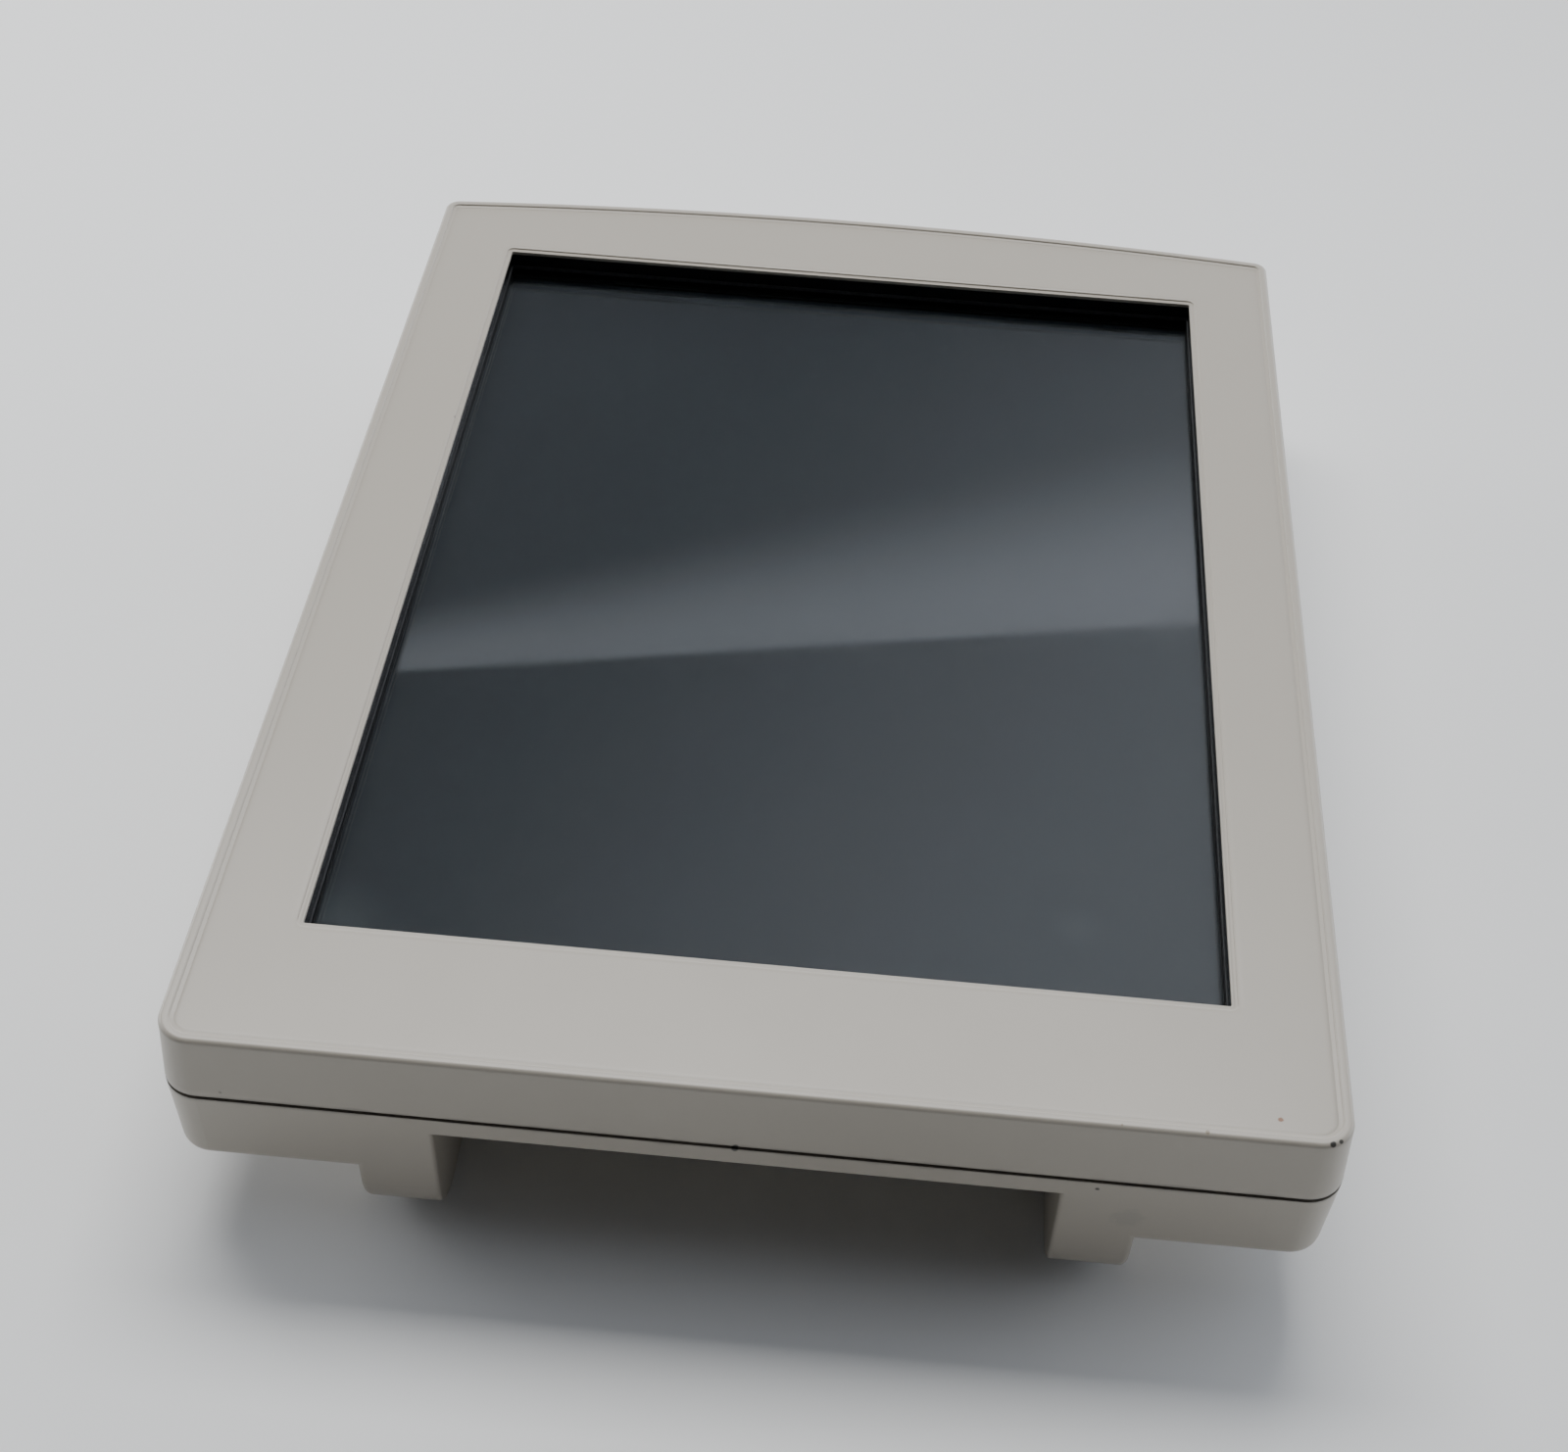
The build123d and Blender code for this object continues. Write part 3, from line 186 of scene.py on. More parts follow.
# How far past the strip's near edge a direction meets the ceiling, then as a share of the
# strip's width, which grows to the right.
skew = put(
    tree,
    "ShaderNodeMath",
    {0: across.outputs[0], 1: STRIP_SKEW, 2: STRIP_START},
    operation="MULTIPLY_ADD",
)
past = put(tree, "ShaderNodeMath", {0: along.outputs[0], 1: skew.outputs[0]}, operation="SUBTRACT")
flare = put(
    tree,
    "ShaderNodeMath",
    {0: across.outputs[0], 1: STRIP_FLARE, 2: STRIP_WIDTH},
    operation="MULTIPLY_ADD",
)
width = put(tree, "ShaderNodeMath", {0: flare.outputs[0], 1: LOWEST}, operation="MAXIMUM")
share = put(tree, "ShaderNodeMath", {0: past.outputs[0], 1: width.outputs[0]}, operation="DIVIDE")
near_edge = put(
    tree,
    "ShaderNodeMapRange",
    {"Value": past.outputs[0], "From Min": 0.0, "From Max": STRIP_EDGE},
    interpolation_type="SMOOTHSTEP",
)
far_edge = put(
    tree,
    "ShaderNodeMapRange",
    {
        "Value": share.outputs[0],
        "From Min": STRIP_FADE[0],
        "From Max": STRIP_FADE[1],
        "To Min": 1.0,
        "To Max": 0.0,
    },
    interpolation_type="SMOOTHSTEP",
)
strip = put(
    tree, "ShaderNodeMath", {0: near_edge.outputs[0], 1: far_edge.outputs[0]}, operation="MULTIPLY"
)
# The room fades towards the viewer, and its ceiling brightens upwards and to the right.
room = put(
    tree,
    "ShaderNodeMapRange",
    {
        "Value": look.outputs["Y"],
        "From Min": ROOM_FADE[0],
        "From Max": ROOM_FADE[1],
        "To Min": ROOM_FRONT,
        "To Max": ROOM_BACK,
    },
    interpolation_type="SMOOTHSTEP",
)
slant = put(
    tree,
    "ShaderNodeMath",
    {0: look.outputs["X"], 1: CEILING_TILT, 2: look.outputs["Z"]},
    operation="MULTIPLY_ADD",
)
ceiling = put(
    tree,
    "ShaderNodeMapRange",
    {
        "Value": slant.outputs[0],
        "From Min": CEILING_FADE[0],
        "From Max": CEILING_FADE[1],
        "To Min": CEILING_LOW,
        "To Max": CEILING_HIGH,
    },
    interpolation_type="SMOOTHSTEP",
)
# The wall below the ceiling is the brightest part, and throws the long shadow forwards.
wall = put(
    tree,
    "ShaderNodeMapRange",
    {
        "Value": look.outputs["Z"],
        "From Min": WALL_FADE[0],
        "From Max": WALL_FADE[1],
        "To Min": WALL_LIGHT,
        "To Max": 0.0,
    },
    interpolation_type="SMOOTHSTEP",
)
backdrop = put(
    tree, "ShaderNodeMath", {0: wall.outputs[0], 1: ceiling.outputs[0]}, operation="ADD"
)
shaded = put(
    tree, "ShaderNodeMath", {0: room.outputs[0], 1: backdrop.outputs[0]}, operation="MULTIPLY"
)
total = put(
    tree,
    "ShaderNodeMath",
    {0: strip.outputs[0], 1: STRIP_LIGHT, 2: shaded.outputs[0]},
    operation="MULTIPLY_ADD",
)
tree.links.new(total.outputs[0], tree.nodes["Background"].inputs["Strength"])

for name, place, turn, size, power, spread in (
    ("soft_lamp", LAMP_PLACE, LAMP_TURN, LAMP_SIZE, LAMP_POWER, LAMP_SPREAD),
    ("window", WINDOW_PLACE, WINDOW_TURN, WINDOW_SIZE, WINDOW_POWER, WINDOW_SPREAD),
):
    light_data = bpy.data.lights.new(name, "AREA")
    light_data.shape = "RECTANGLE"
    light_data.size, light_data.size_y = size
    light_data.energy = power
    light_data.spread = np.radians(spread)
    light = bpy.data.objects.new(name, light_data)
    light.location = place
    light.rotation_euler = turn
    bpy.context.scene.collection.objects.link(light)


# ---- front moulding ----------------------------------------------------------------------
# One injection-moulded ABS frame. A thin rounded bead runs round its rim, the flat face
# rolls over to a thin lip at the opening, and posts inside take every board and screw.
RIM_TOP, FACE_TOP, LIP_TOP, SKIN_UNDER = 70.0, 69.2, 68.5, 67.3
FOOT = 50.0
FOOT_SPREAD = (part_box("front_bezel")[1].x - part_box("front_bezel")[0].x) * 500 - 144.5
BODY_HALF_W, BODY_HALF_L = 144.5, 194.45
NEAR_CORNER, FAR_CORNER, ARCH_RISE = 8.8, 4.6, 7.5
OPENING_HALF_W, OPENING_HALF_L, SCREEN_Y, OPENING_CORNER = 117.0, 156.0, 3.45, 0.6
WALL = 2.5
ABS_LIGHT, ABS_DARK, ABS_DIRT_AND_SHADE = "#aca599", "#a49d91", "#3a3630"
ABS_CLOUD, ABS_GRAIN, ABS_SHEEN = 0.07, 0.0011, (0.32, 0.42)
# Grime and painted shade at the seam: patch size, reach, least reach and strength.
SEAM_DIRT_SHADE_PATCH, SEAM_DIRT_SHADE_REACH, SEAM_DIRT_SHADE_LEAST, SEAM_DIRT_SHADE_STRENGTH = 0.009, 0.0024, -0.0003, 0.55
SPECK_SPACING, SPECK_DOT, SPECK_RARITY, SPECK_STRENGTH = 0.016, (0.012, 0.022), 0.86, 0.45
KNOCK_GRAIN, KNOCK_RAGGED, KNOCK_EDGE = 0.0022, 1.1, (1.1, 1.45)
SHARPEST_CORNER = 0.3
CORNER_STEPS, EDGE_STEPS, ARCH_STEPS = 12, 40, 64


def arc(centre, radius, start, end, steps):
    """Points on an arc or an upright ellipse, from one angle in degrees to the other."""
    angle = np.radians(np.linspace(start, end, steps))
    reach = np.broadcast_to(radius, 2)
    return np.stack(
        [centre[0] + reach[0] * np.cos(angle), centre[1] + reach[1] * np.sin(angle)], axis=-1
    )


def straight(start, end, steps):
    """Evenly spaced points between two points, both of them left out."""
    share = np.linspace(0, 1, steps + 2)[1:-1, None]
    return np.asarray(start) * (1 - share) + np.asarray(end) * share


def body_loop(grow):
    """The body's outline, moved outwards by grow: a straight near edge and sides, and one
    long arc for the far edge, joined by corner arcs that touch both of their neighbours."""
    w, l = BODY_HALF_W + grow, BODY_HALF_L + grow
    near, far = NEAR_CORNER + grow, max(FAR_CORNER + grow, SHARPEST_CORNER)
    big = (BODY_HALF_W**2 + ARCH_RISE**2) / (2 * ARCH_RISE) + grow
    big_y = l - big
    far_x = w - far
    far_y = big_y + np.sqrt((big - far) ** 2 - far_x**2)
    tip = np.degrees(np.arctan2(far_y - big_y, far_x))
    mirror = np.array([-1, 1])
    near_arc = arc((w - near, near - l), near, -90, 0, CORNER_STEPS)
    far_arc = arc((far_x, far_y), far, 0, tip, CORNER_STEPS)
    return np.concatenate([
        straight((near - w, -l), (w - near, -l), EDGE_STEPS),
        near_arc,
        straight((w, near - l), (w, far_y), EDGE_STEPS),
        far_arc,
        arc((0, big_y), big, tip, 180 - tip, ARCH_STEPS + 2)[1:-1],
        (far_arc * mirror)[::-1],
        straight((-w, far_y), (-w, near - l), EDGE_STEPS),
        (near_arc * mirror)[::-1],
    ])


def opening_loop(grow):
    """The screen opening's outline, moved outwards by grow, with the body outline's count
    of points on each edge and corner, so that the two can be joined point to point."""
    w, l, r = OPENING_HALF_W + grow, OPENING_HALF_L + grow, OPENING_CORNER + grow
    mirror, flip = np.array([-1, 1]), np.array([1, -1])
    near_arc = arc((w - r, r - l), r, -90, 0, CORNER_STEPS)
    far_arc = (near_arc * flip)[::-1]
    loop = np.concatenate([
        straight((r - w, -l), (w - r, -l), EDGE_STEPS),
        near_arc,
        straight((w, r - l), (w, l - r), EDGE_STEPS),
        far_arc,
        straight((w - r, l), (r - w, l), ARCH_STEPS),
        (far_arc * mirror)[::-1],
        straight((-w, l - r), (-w, r - l), EDGE_STEPS),
        (near_arc * mirror)[::-1],
    ])
    return loop + (0, SCREEN_Y)


def carried(loop, profile):
    """Carries a profile of (distance outwards, height) points round a loop."""
    return np.stack([
        np.concatenate([loop(grow), np.full((len(loop(grow)), 1), z)], axis=1)
        for grow, z in profile
    ])


def turned(profile, centre, steps=24):
    """A surface of revolution on an upright axis: (radius, height) points turned about it."""
    profile = np.asarray(profile, float)
    angle = np.linspace(0, 2 * np.pi, steps, endpoint=False)
    x = centre[0] + profile[:, :1] * np.cos(angle)
    y = centre[1] + profile[:, :1] * np.sin(angle)
    z = np.broadcast_to(profile[:, 1:], x.shape)
    return np.stack([x, y, z], axis=-1).reshape(-1, 3), grid_faces(len(profile), steps)


def joined(parts):
    """Several (points, faces) pairs as one."""
    counts = np.cumsum([0] + [len(points) for points, _ in parts[:-1]])
    return (
        np.concatenate([points for points, _ in parts]),
        np.concatenate([faces + count for (_, faces), count in zip(parts, counts)]),
    )


def moulded_abs(name, light, dark, seam, marks):
    """Injection-moulded ABS, spark-eroded to a fine satin grain: a broad soft sheen, a little
    yellowed and clouded with age, with grime and painted shade at the seam, specks and small
    knocks.

    A mark is its centre in millimetres, its radius, its colour and how strongly it shows."""
    material, tree, shader = start_material(name, {"IOR": 1.53, "Roughness": 0.36})
    place = put(tree, "ShaderNodeTexCoord").outputs["Object"]
    height = put(tree, "ShaderNodeSeparateXYZ", {0: place}).outputs["Z"]
    cloud = put(
        tree,
        "ShaderNodeTexNoise",
        {"Vector": place, "Scale": 1 / ABS_CLOUD, "Detail": 5.0, "Roughness": 0.6},
    )
    colour = put(
        tree,
        "ShaderNodeMix",
        {0: cloud.outputs["Fac"], MIX_A: linear(light), MIX_B: linear(dark)},
        data_type="RGBA",
    ).outputs[MIXED]

    # Grime and painted shade darken the ABS within a millimetre or so of the seam, unevenly. The
    # painted shade stands for the shadow in the gap between the mouldings.
    from_seam = put(tree, "ShaderNodeMath", {0: height, 1: seam * 0.001}, operation="SUBTRACT")
    distance = put(tree, "ShaderNodeMath", {0: from_seam.outputs[0]}, operation="ABSOLUTE")
    uneven = put(
        tree, "ShaderNodeTexNoise", {"Vector": place, "Scale": 1 / SEAM_DIRT_SHADE_PATCH, "Detail": 4.0}
    )
    reach = put(
        tree,
        "ShaderNodeMath",
        {0: uneven.outputs["Fac"], 1: SEAM_DIRT_SHADE_REACH, 2: SEAM_DIRT_SHADE_LEAST},
        operation="MULTIPLY_ADD",
    )
    seam_dirt_and_shade = put(
        tree,
        "ShaderNodeMapRange",
        {
            "Value": distance.outputs[0],
            "From Min": 0.0,
            "From Max": reach.outputs[0],
            "To Min": SEAM_DIRT_SHADE_STRENGTH,
            "To Max": 0.0,
        },
    )
    colour = put(
        tree,
        "ShaderNodeMix",
        {0: seam_dirt_and_shade.outputs[0], MIX_A: colour, MIX_B: linear(ABS_DIRT_AND_SHADE)},
        data_type="RGBA",
    ).outputs[MIXED]

    # Fly specks and dust: one small dot in a few of the cells of a coarse pattern.
    cells = put(tree, "ShaderNodeTexVoronoi", {"Vector": place, "Scale": 1 / SPECK_SPACING})
    pick = put(tree, "ShaderNodeSeparateColor", {0: cells.outputs["Color"]})
    chosen = put(
        tree, "ShaderNodeMath", {0: pick.outputs[0], 1: SPECK_RARITY}, operation="GREATER_THAN"
    )
    dot = put(
        tree,
        "ShaderNodeMapRange",
        {
            "Value": cells.outputs["Distance"],
            "From Min": SPECK_DOT[0],
            "From Max": SPECK_DOT[1],
            "To Min": SPECK_STRENGTH,
            "To Max": 0.0,
        },
    )
    speck = put(
        tree, "ShaderNodeMath", {0: chosen.outputs[0], 1: dot.outputs[0]}, operation="MULTIPLY"
    )
    colour = put(
        tree,
        "ShaderNodeMix",
        {0: speck.outputs[0], MIX_A: colour, MIX_B: linear(ABS_DIRT_AND_SHADE)},
        data_type="RGBA",
    ).outputs[MIXED]

    # Knocks, scuffs and stains, each a small ragged spot of its own.
    ragged = put(
        tree, "ShaderNodeTexNoise", {"Vector": place, "Scale": 1 / KNOCK_GRAIN, "Detail": 3.0}
    )
    for centre, radius, mark_colour, strength in marks:
        metres = tuple(np.array(centre) * 0.001)
        gap = put(tree, "ShaderNodeVectorMath", {0: place, 1: metres}, operation="DISTANCE")
        share = put(
            tree,
            "ShaderNodeMath",
            {0: gap.outputs["Value"], 1: radius * 0.001},
            operation="DIVIDE",
        )
        rough = put(
            tree,
            "ShaderNodeMath",
            {0: ragged.outputs["Fac"], 1: KNOCK_RAGGED, 2: share.outputs[0]},
            operation="MULTIPLY_ADD",
        )
        cover = put(
            tree,
            "ShaderNodeMapRange",
            {
                "Value": rough.outputs[0],
                "From Min": KNOCK_EDGE[0],
                "From Max": KNOCK_EDGE[1],
                "To Min": strength,
                "To Max": 0.0,
            },
        )
        colour = put(
            tree,
            "ShaderNodeMix",
            {0: cover.outputs[0], MIX_A: colour, MIX_B: linear(mark_colour)},
            data_type="RGBA",
        ).outputs[MIXED]
    tree.links.new(colour, shader.inputs["Base Color"])

    # The grain is about a quarter of a millimetre on the tool. It is drawn coarser, so that
    # it shows at all.
    grain = put(
        tree, "ShaderNodeTexNoise", {"Vector": place, "Scale": 1 / ABS_GRAIN, "Detail": 2.0}
    )
    bump = put(
        tree,
        "ShaderNodeBump",
        {"Height": grain.outputs["Fac"], "Strength": 0.12, "Distance": 0.0001},
    )
    tree.links.new(bump.outputs[0], shader.inputs["Normal"])
    gloss = put(
        tree,
        "ShaderNodeMapRange",
        {"Value": cloud.outputs["Fac"], "To Min": ABS_SHEEN[0], "To Max": ABS_SHEEN[1]},
    )
    tree.links.new(gloss.outputs[0], shader.inputs["Roughness"])
    return material


front_abs = moulded_abs(
    "moulded_abs_front",
    ABS_LIGHT,
    ABS_DARK,
    seam=FOOT,
    marks=[
        ((126.8, -187.1, FACE_TOP), 0.9, "#7a4a22", 0.95),
        ((138.7, -193.4, 69.7), 0.9, "#2b2a26", 0.95),
        ((140.6, -192.4, 69.8), 0.7, "#2b2a26", 0.9),
        ((109.1, -193.3, 69.8), 0.7, "#6b5a3a", 0.7),
        ((88.9, -193.4, 69.8), 0.5, "#6b5a3a", 0.6),
        ((-129.2, -194.8, 52.2), 0.9, "#5f5c53", 0.6),
        ((-2.5, -195.5, FOOT), 1.2, "#1d1c1a", 0.9),
        ((119.9, 124.4, LIP_TOP), 0.9, "#6d6a62", 0.7),
        ((-118.5, 62.0, FACE_TOP), 0.8, "#6f6a60", 0.6),
    ],
)

# The profile runs from the wall's foot up and over the bead, down into the groove inside it,
# across the face, over the rolled edge and the fine lip, and back under the skin.
FOOT_EASE, RIM_OUTER, RIM_INNER, RIM_START = 0.25, 1.3, 0.7, 1.6
BEAD_SET_IN, BEAD_INNER_AT = 0.06, 2.1
GROOVE_AT, GROOVE_HALF_W, GROOVE_DEPTH = 3.3, 0.5, 0.34
ROLL_AT, ROLL_W, ROLL_DEPTH = 3.05, 1.55, 0.42
STEP_AT, STEP_HALF_W, STEP_DEPTH = 1.05, 0.35, 0.22
LIP_ROUND, LIP_OUTER_ROUND, UNDER_ROUND = 0.22, 0.16, 0.15

wall_rise = RIM_TOP - FOOT
wall_profile = [
    (-WALL, FOOT),
    *arc((FOOT_SPREAD - FOOT_EASE, FOOT + FOOT_EASE), FOOT_EASE, -90, 0, 4),
]
for share in (0.1, 0.5, 0.9):
    climb = FOOT + FOOT_EASE + (wall_rise - RIM_START) * share
    wall_profile.append((FOOT_SPREAD * (1 - share), climb))
rim_profile = [
    *arc((-RIM_OUTER + BEAD_SET_IN, RIM_TOP - RIM_OUTER), RIM_OUTER, 2, 90, 9),
    *arc((-BEAD_INNER_AT, RIM_TOP - RIM_INNER), RIM_INNER, 90, 172, 7),
    *arc((-GROOVE_AT, FACE_TOP + 0.02), (GROOVE_HALF_W, GROOVE_DEPTH), 190, 300, 7),
    (-3.75, FACE_TOP - 0.08),
    (-4.5, FACE_TOP),
    (-5.2, FACE_TOP),
]
edge_profile = [
    (5.0, FACE_TOP),
    (3.4, FACE_TOP),
    *arc((ROLL_AT, FACE_TOP - ROLL_DEPTH), (ROLL_W, ROLL_DEPTH), 90, 175, 9),
    (1.42, LIP_TOP + 0.02),
    *arc((STEP_AT, LIP_TOP), (STEP_HALF_W, STEP_DEPTH), 190, 350, 7),
    *arc((0.5, LIP_TOP - LIP_OUTER_ROUND), LIP_OUTER_ROUND, 60, 90, 3),
    *arc((LIP_ROUND, LIP_TOP - LIP_ROUND), LIP_ROUND, 90, 180, 6),
    *arc((UNDER_ROUND, SKIN_UNDER + UNDER_ROUND), UNDER_ROUND, 180, 270, 4),
    (1.0, SKIN_UNDER),
]
inner_profile = [(-WALL - 1.0, SKIN_UNDER), (-WALL, SKIN_UNDER - 0.6), (-WALL, FOOT + 4.0)]
shell = np.concatenate([
    carried(body_loop, wall_profile + rim_profile),
    carried(opening_loop, edge_profile),
    carried(body_loop, inner_profile),
])
parts = [(shell.reshape(-1, 3), grid_faces(*shell.shape[:2], ring_rows=True))]


def screw_post(place, low, radius, bore, depth):
    """A moulded post that hangs from the face's underside, with a blind screw hole: the
    half section of a thick-walled tube, closed at the top, turned about its axis."""
    high = SKIN_UNDER + 0.2
    profile = [(0, low + depth), (bore, low + depth), (bore, low), (radius, low)]
    return turned([*profile, (radius, high), (0, high)], place)


chassis_posts = [(side * 135.0, y) for side in (-1, 1) for y in (-95.0, 60.0, 140.0)]
cover_posts = [(side * 134.6, y) for side in (-1, 1) for y in (-182.0, -30.0, 174.0)]
board_posts = [(side * 127.6, SCREEN_Y + y) for side in (-1, 1) for y in (-140.0, 0.0, 140.0)]
board_posts += [(x, SCREEN_Y + side * 166.4) for side in (-1, 1) for x in (-100.0, 0.0, 100.0)]
board_posts += [(-50.0, -179.5), (30.0, -179.5)]
# Each kind's places, lower end, radius, and its hole's radius and depth.
post_kinds = (
    (chassis_posts, 43.0, 4.0, 1.5, 10.0),
    (cover_posts, 46.0, 4.0, 1.5, 11.0),
    (board_posts, 63.5, 2.4, 1.25, 3.4),
)
parts += [screw_post(place, *sizes) for places, *sizes in post_kinds for place in places]

front_moulding = mesh_piece("front_moulding", *joined(parts), front_abs)
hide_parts("front_bezel")
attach(front_moulding, "housing")


# ---- rear cover --------------------------------------------------------------------------
# The other half of the case, moulded in the same ABS: a shallow tray with a deeper hump
# under it that houses the boards. The plugs go into a bay cut in the hump's near end.
COVER_TOP = 49.0


def dress(material, *nodes):
    """Gives CAD nodes this material."""
    for node in nodes:
        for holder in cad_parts[node].material_slots:
            holder.material = material


# The cover's edge at the seam is also darkened with grime and painted shade.
rear_abs = moulded_abs(
    "moulded_abs_rear",
    ABS_LIGHT,
    ABS_DARK,
    seam=COVER_TOP,
    marks=[
        ((-2.5, -195.5, COVER_TOP), 1.2, "#1d1c1a", 0.9),
        ((86.0, -195.0, 46.5), 0.8, "#26241f", 0.95),
        ((94.7, -194.5, 34.9), 5.0, "#8f8b82", 0.35),
    ],
)
dress(rear_abs, "rear_cover")


# ---- seals -------------------------------------------------------------------------------
# Black closed-cell foam and rubber: a cord in the seam between the mouldings, a strip that
# the filter presses on the glass, and one between the glass and the display.
FOAM_CELL = 0.0009


def foam(name, light, dark, cell):
    """Closed-cell rubber foam, cut from sheet: dull, with open cells showing at the cut."""
    material, tree, shader = start_material(name, {"Roughness": 0.82, "IOR": 1.5})
    place = put(tree, "ShaderNodeTexCoord").outputs["Object"]
    cells = put(tree, "ShaderNodeTexVoronoi", {"Vector": place, "Scale": 1 / cell})
    colour = put(
        tree,
        "ShaderNodeMix",
        {0: cells.outputs["Distance"], MIX_A: linear(dark), MIX_B: linear(light)},
        data_type="RGBA",
    )
    tree.links.new(colour.outputs[MIXED], shader.inputs["Base Color"])
    bump = put(
        tree,
        "ShaderNodeBump",
        {"Height": cells.outputs["Distance"], "Strength": 0.4, "Distance": cell / 4},
    )
    tree.links.new(bump.outputs[0], shader.inputs["Normal"])
    return material


rubber_foam = foam("closed_cell_rubber_foam", "#2a2a2b", "#121213", FOAM_CELL)
filter_seal = foam("rubber_filter_seal", "#3a3b3c", "#202122", FOAM_CELL)
dress(rubber_foam, "seam_gasket", "glass_gasket")
dress(filter_seal, "filter_gasket")


# ---- infrared filter frame ---------------------------------------------------------------
# Four strips of infrared-passing acrylic, bonded at the corners, that line the opening.
# The light beams go through them, and the eye sees only glossy black.
DUST_PATCH, DUST_COLOUR, DUST_SHARE, DUST_HAZE = 0.0111, "#24221f", 0.12, 0.12


def cast_acrylic(name, colour, roughness, transmission):
    """Polished cast acrylic: a clean gloss, dulled a little by dust that has settled."""
    inputs = {"IOR": 1.49, "Transmission Weight": transmission}
    material, tree, shader = start_material(name, inputs)
    place = put(tree, "ShaderNodeTexCoord").outputs["Object"]
    dust = put(
        tree, "ShaderNodeTexNoise", {"Vector": place, "Scale": 1 / DUST_PATCH, "Detail": 6.0}
    )
    haze = put(
        tree,
        "ShaderNodeMapRange",
        {"Value": dust.outputs["Fac"], "To Min": roughness, "To Max": roughness + DUST_HAZE},
    )
    tree.links.new(haze.outputs[0], shader.inputs["Roughness"])
    tint = put(
        tree,
        "ShaderNodeMix",
        {0: dust.outputs["Fac"], MIX_A: linear(colour), MIX_B: linear(DUST_COLOUR)},
        data_type="RGBA",
    )
    weaker = put(
        tree,
        "ShaderNodeMix",
        {0: DUST_SHARE, MIX_A: linear(colour), MIX_B: tint.outputs[MIXED]},
        data_type="RGBA",
    )
    tree.links.new(weaker.outputs[MIXED], shader.inputs["Base Color"])
    return material


dress(cast_acrylic("infrared_filter_acrylic", "#060607", 0.16, 0.0), "infrared_filter_frame")


# ---- front glass -------------------------------------------------------------------------
# A 3 mm pane of toughened soda-lime glass between the beams and the display. It takes the
# touches, so it is a little smeared.
SMEAR_PATCH, GLASS_SHEEN = 0.0714, (0.012, 0.035)
clear_glass, tree, shader = start_material(
    "toughened_soda_lime_glass",
    {"Base Color": linear("#eef1f0"), "IOR": 1.52, "Transmission Weight": 1.0},
)
place = put(tree, "ShaderNodeTexCoord").outputs["Object"]
smear = put(
    tree,
    "ShaderNodeTexNoise",
    {"Vector": place, "Scale": 1 / SMEAR_PATCH, "Detail": 6.0, "Distortion": 1.6},
)
haze = put(
    tree,
    "ShaderNodeMapRange",
    {
        "Value": smear.outputs["Fac"],
        "From Min": 0.4,
        "From Max": 0.75,
        "To Min": GLASS_SHEEN[0],
        "To Max": GLASS_SHEEN[1],
    },
)
tree.links.new(haze.outputs[0], shader.inputs["Roughness"])
dress(clear_glass, "front_glass")


# ---- display cell ------------------------------------------------------------------------
# Two sheets of thin glass with the liquid crystal between them, under a polariser with an
# anti-glare finish. Switched off, it is a dark blue-grey.
CELL_LIGHT, CELL_DARK, CELL_CLOUD = "#2c3036", "#33383e", 0.004
CELL_FACE = 0.0575
PAINTED_LIGHT_COLOUR = "#848c93"
# Each painted light patch's centre, radius and strength, in metres.
PAINTED_LIGHT_PATCHES = (
    ((-0.116, -0.146, CELL_FACE), 0.024, 0.2),
    ((0.0795, -0.122, CELL_FACE), 0.009, 0.07),
)
polariser, tree, shader = start_material(
    "anti_glare_polariser", {"IOR": 1.49, "Roughness": 0.5, "Specular IOR Level": 0.12}
)
place = put(tree, "ShaderNodeTexCoord").outputs["Object"]
dots = put(tree, "ShaderNodeTexNoise", {"Vector": place, "Scale": 1 / CELL_CLOUD, "Detail": 3.0})
shade = put(
    tree,
    "ShaderNodeMix",
    {0: dots.outputs["Fac"], MIX_A: linear(CELL_LIGHT), MIX_B: linear(CELL_DARK)},
    data_type="RGBA",
)
# Painted reflection: a broad paler patch in the near left corner and a smaller one to its right,
# painted on the cell under the glass, stand for light reflected on the screen.
colour = shade.outputs[MIXED]
for centre, radius, strength in PAINTED_LIGHT_PATCHES:
    gap = put(tree, "ShaderNodeVectorMath", {0: place, 1: centre}, operation="DISTANCE")
    painted_light_patch = put(
        tree,
        "ShaderNodeMapRange",
        {"Value": gap.outputs["Value"], "From Max": radius, "To Min": strength, "To Max": 0.0},
        interpolation_type="SMOOTHSTEP",
    )
    colour = put(
        tree,
        "ShaderNodeMix",
        {0: painted_light_patch.outputs[0], MIX_A: colour, MIX_B: linear(PAINTED_LIGHT_COLOUR)},
        data_type="RGBA",
    ).outputs[MIXED]
tree.links.new(colour, shader.inputs["Base Color"])
dress(polariser, "lcd_cell")


# ---- display module ----------------------------------------------------------------------
# The rest of the module behind the cell: a pressed steel front frame coated black, a white
# moulded frame, the diffusing films, the light guide, two lamps and a plated back pan.
def plain_finish(name, light, dark, grain, inputs, bump_depth=0.0):
    """A finish with a two-colour grain of the given size in metres and, where a depth is
    given, a bump that follows it."""
    material, tree, shader = start_material(name, inputs)
    place = put(tree, "ShaderNodeTexCoord").outputs["Object"]
    pattern = put(tree, "ShaderNodeTexNoise", {"Vector": place, "Scale": 1 / grain, "Detail": 4.0})
    colour = put(
        tree,
        "ShaderNodeMix",
        {0: pattern.outputs["Fac"], MIX_A: linear(light), MIX_B: linear(dark)},
        data_type="RGBA",
    )
    tree.links.new(colour.outputs[MIXED], shader.inputs["Base Color"])
    if bump_depth:
        bump = put(
            tree,
            "ShaderNodeBump",
            {"Height": pattern.outputs["Fac"], "Strength": 0.5, "Distance": bump_depth},
        )
        tree.links.new(bump.outputs[0], shader.inputs["Normal"])
    return material


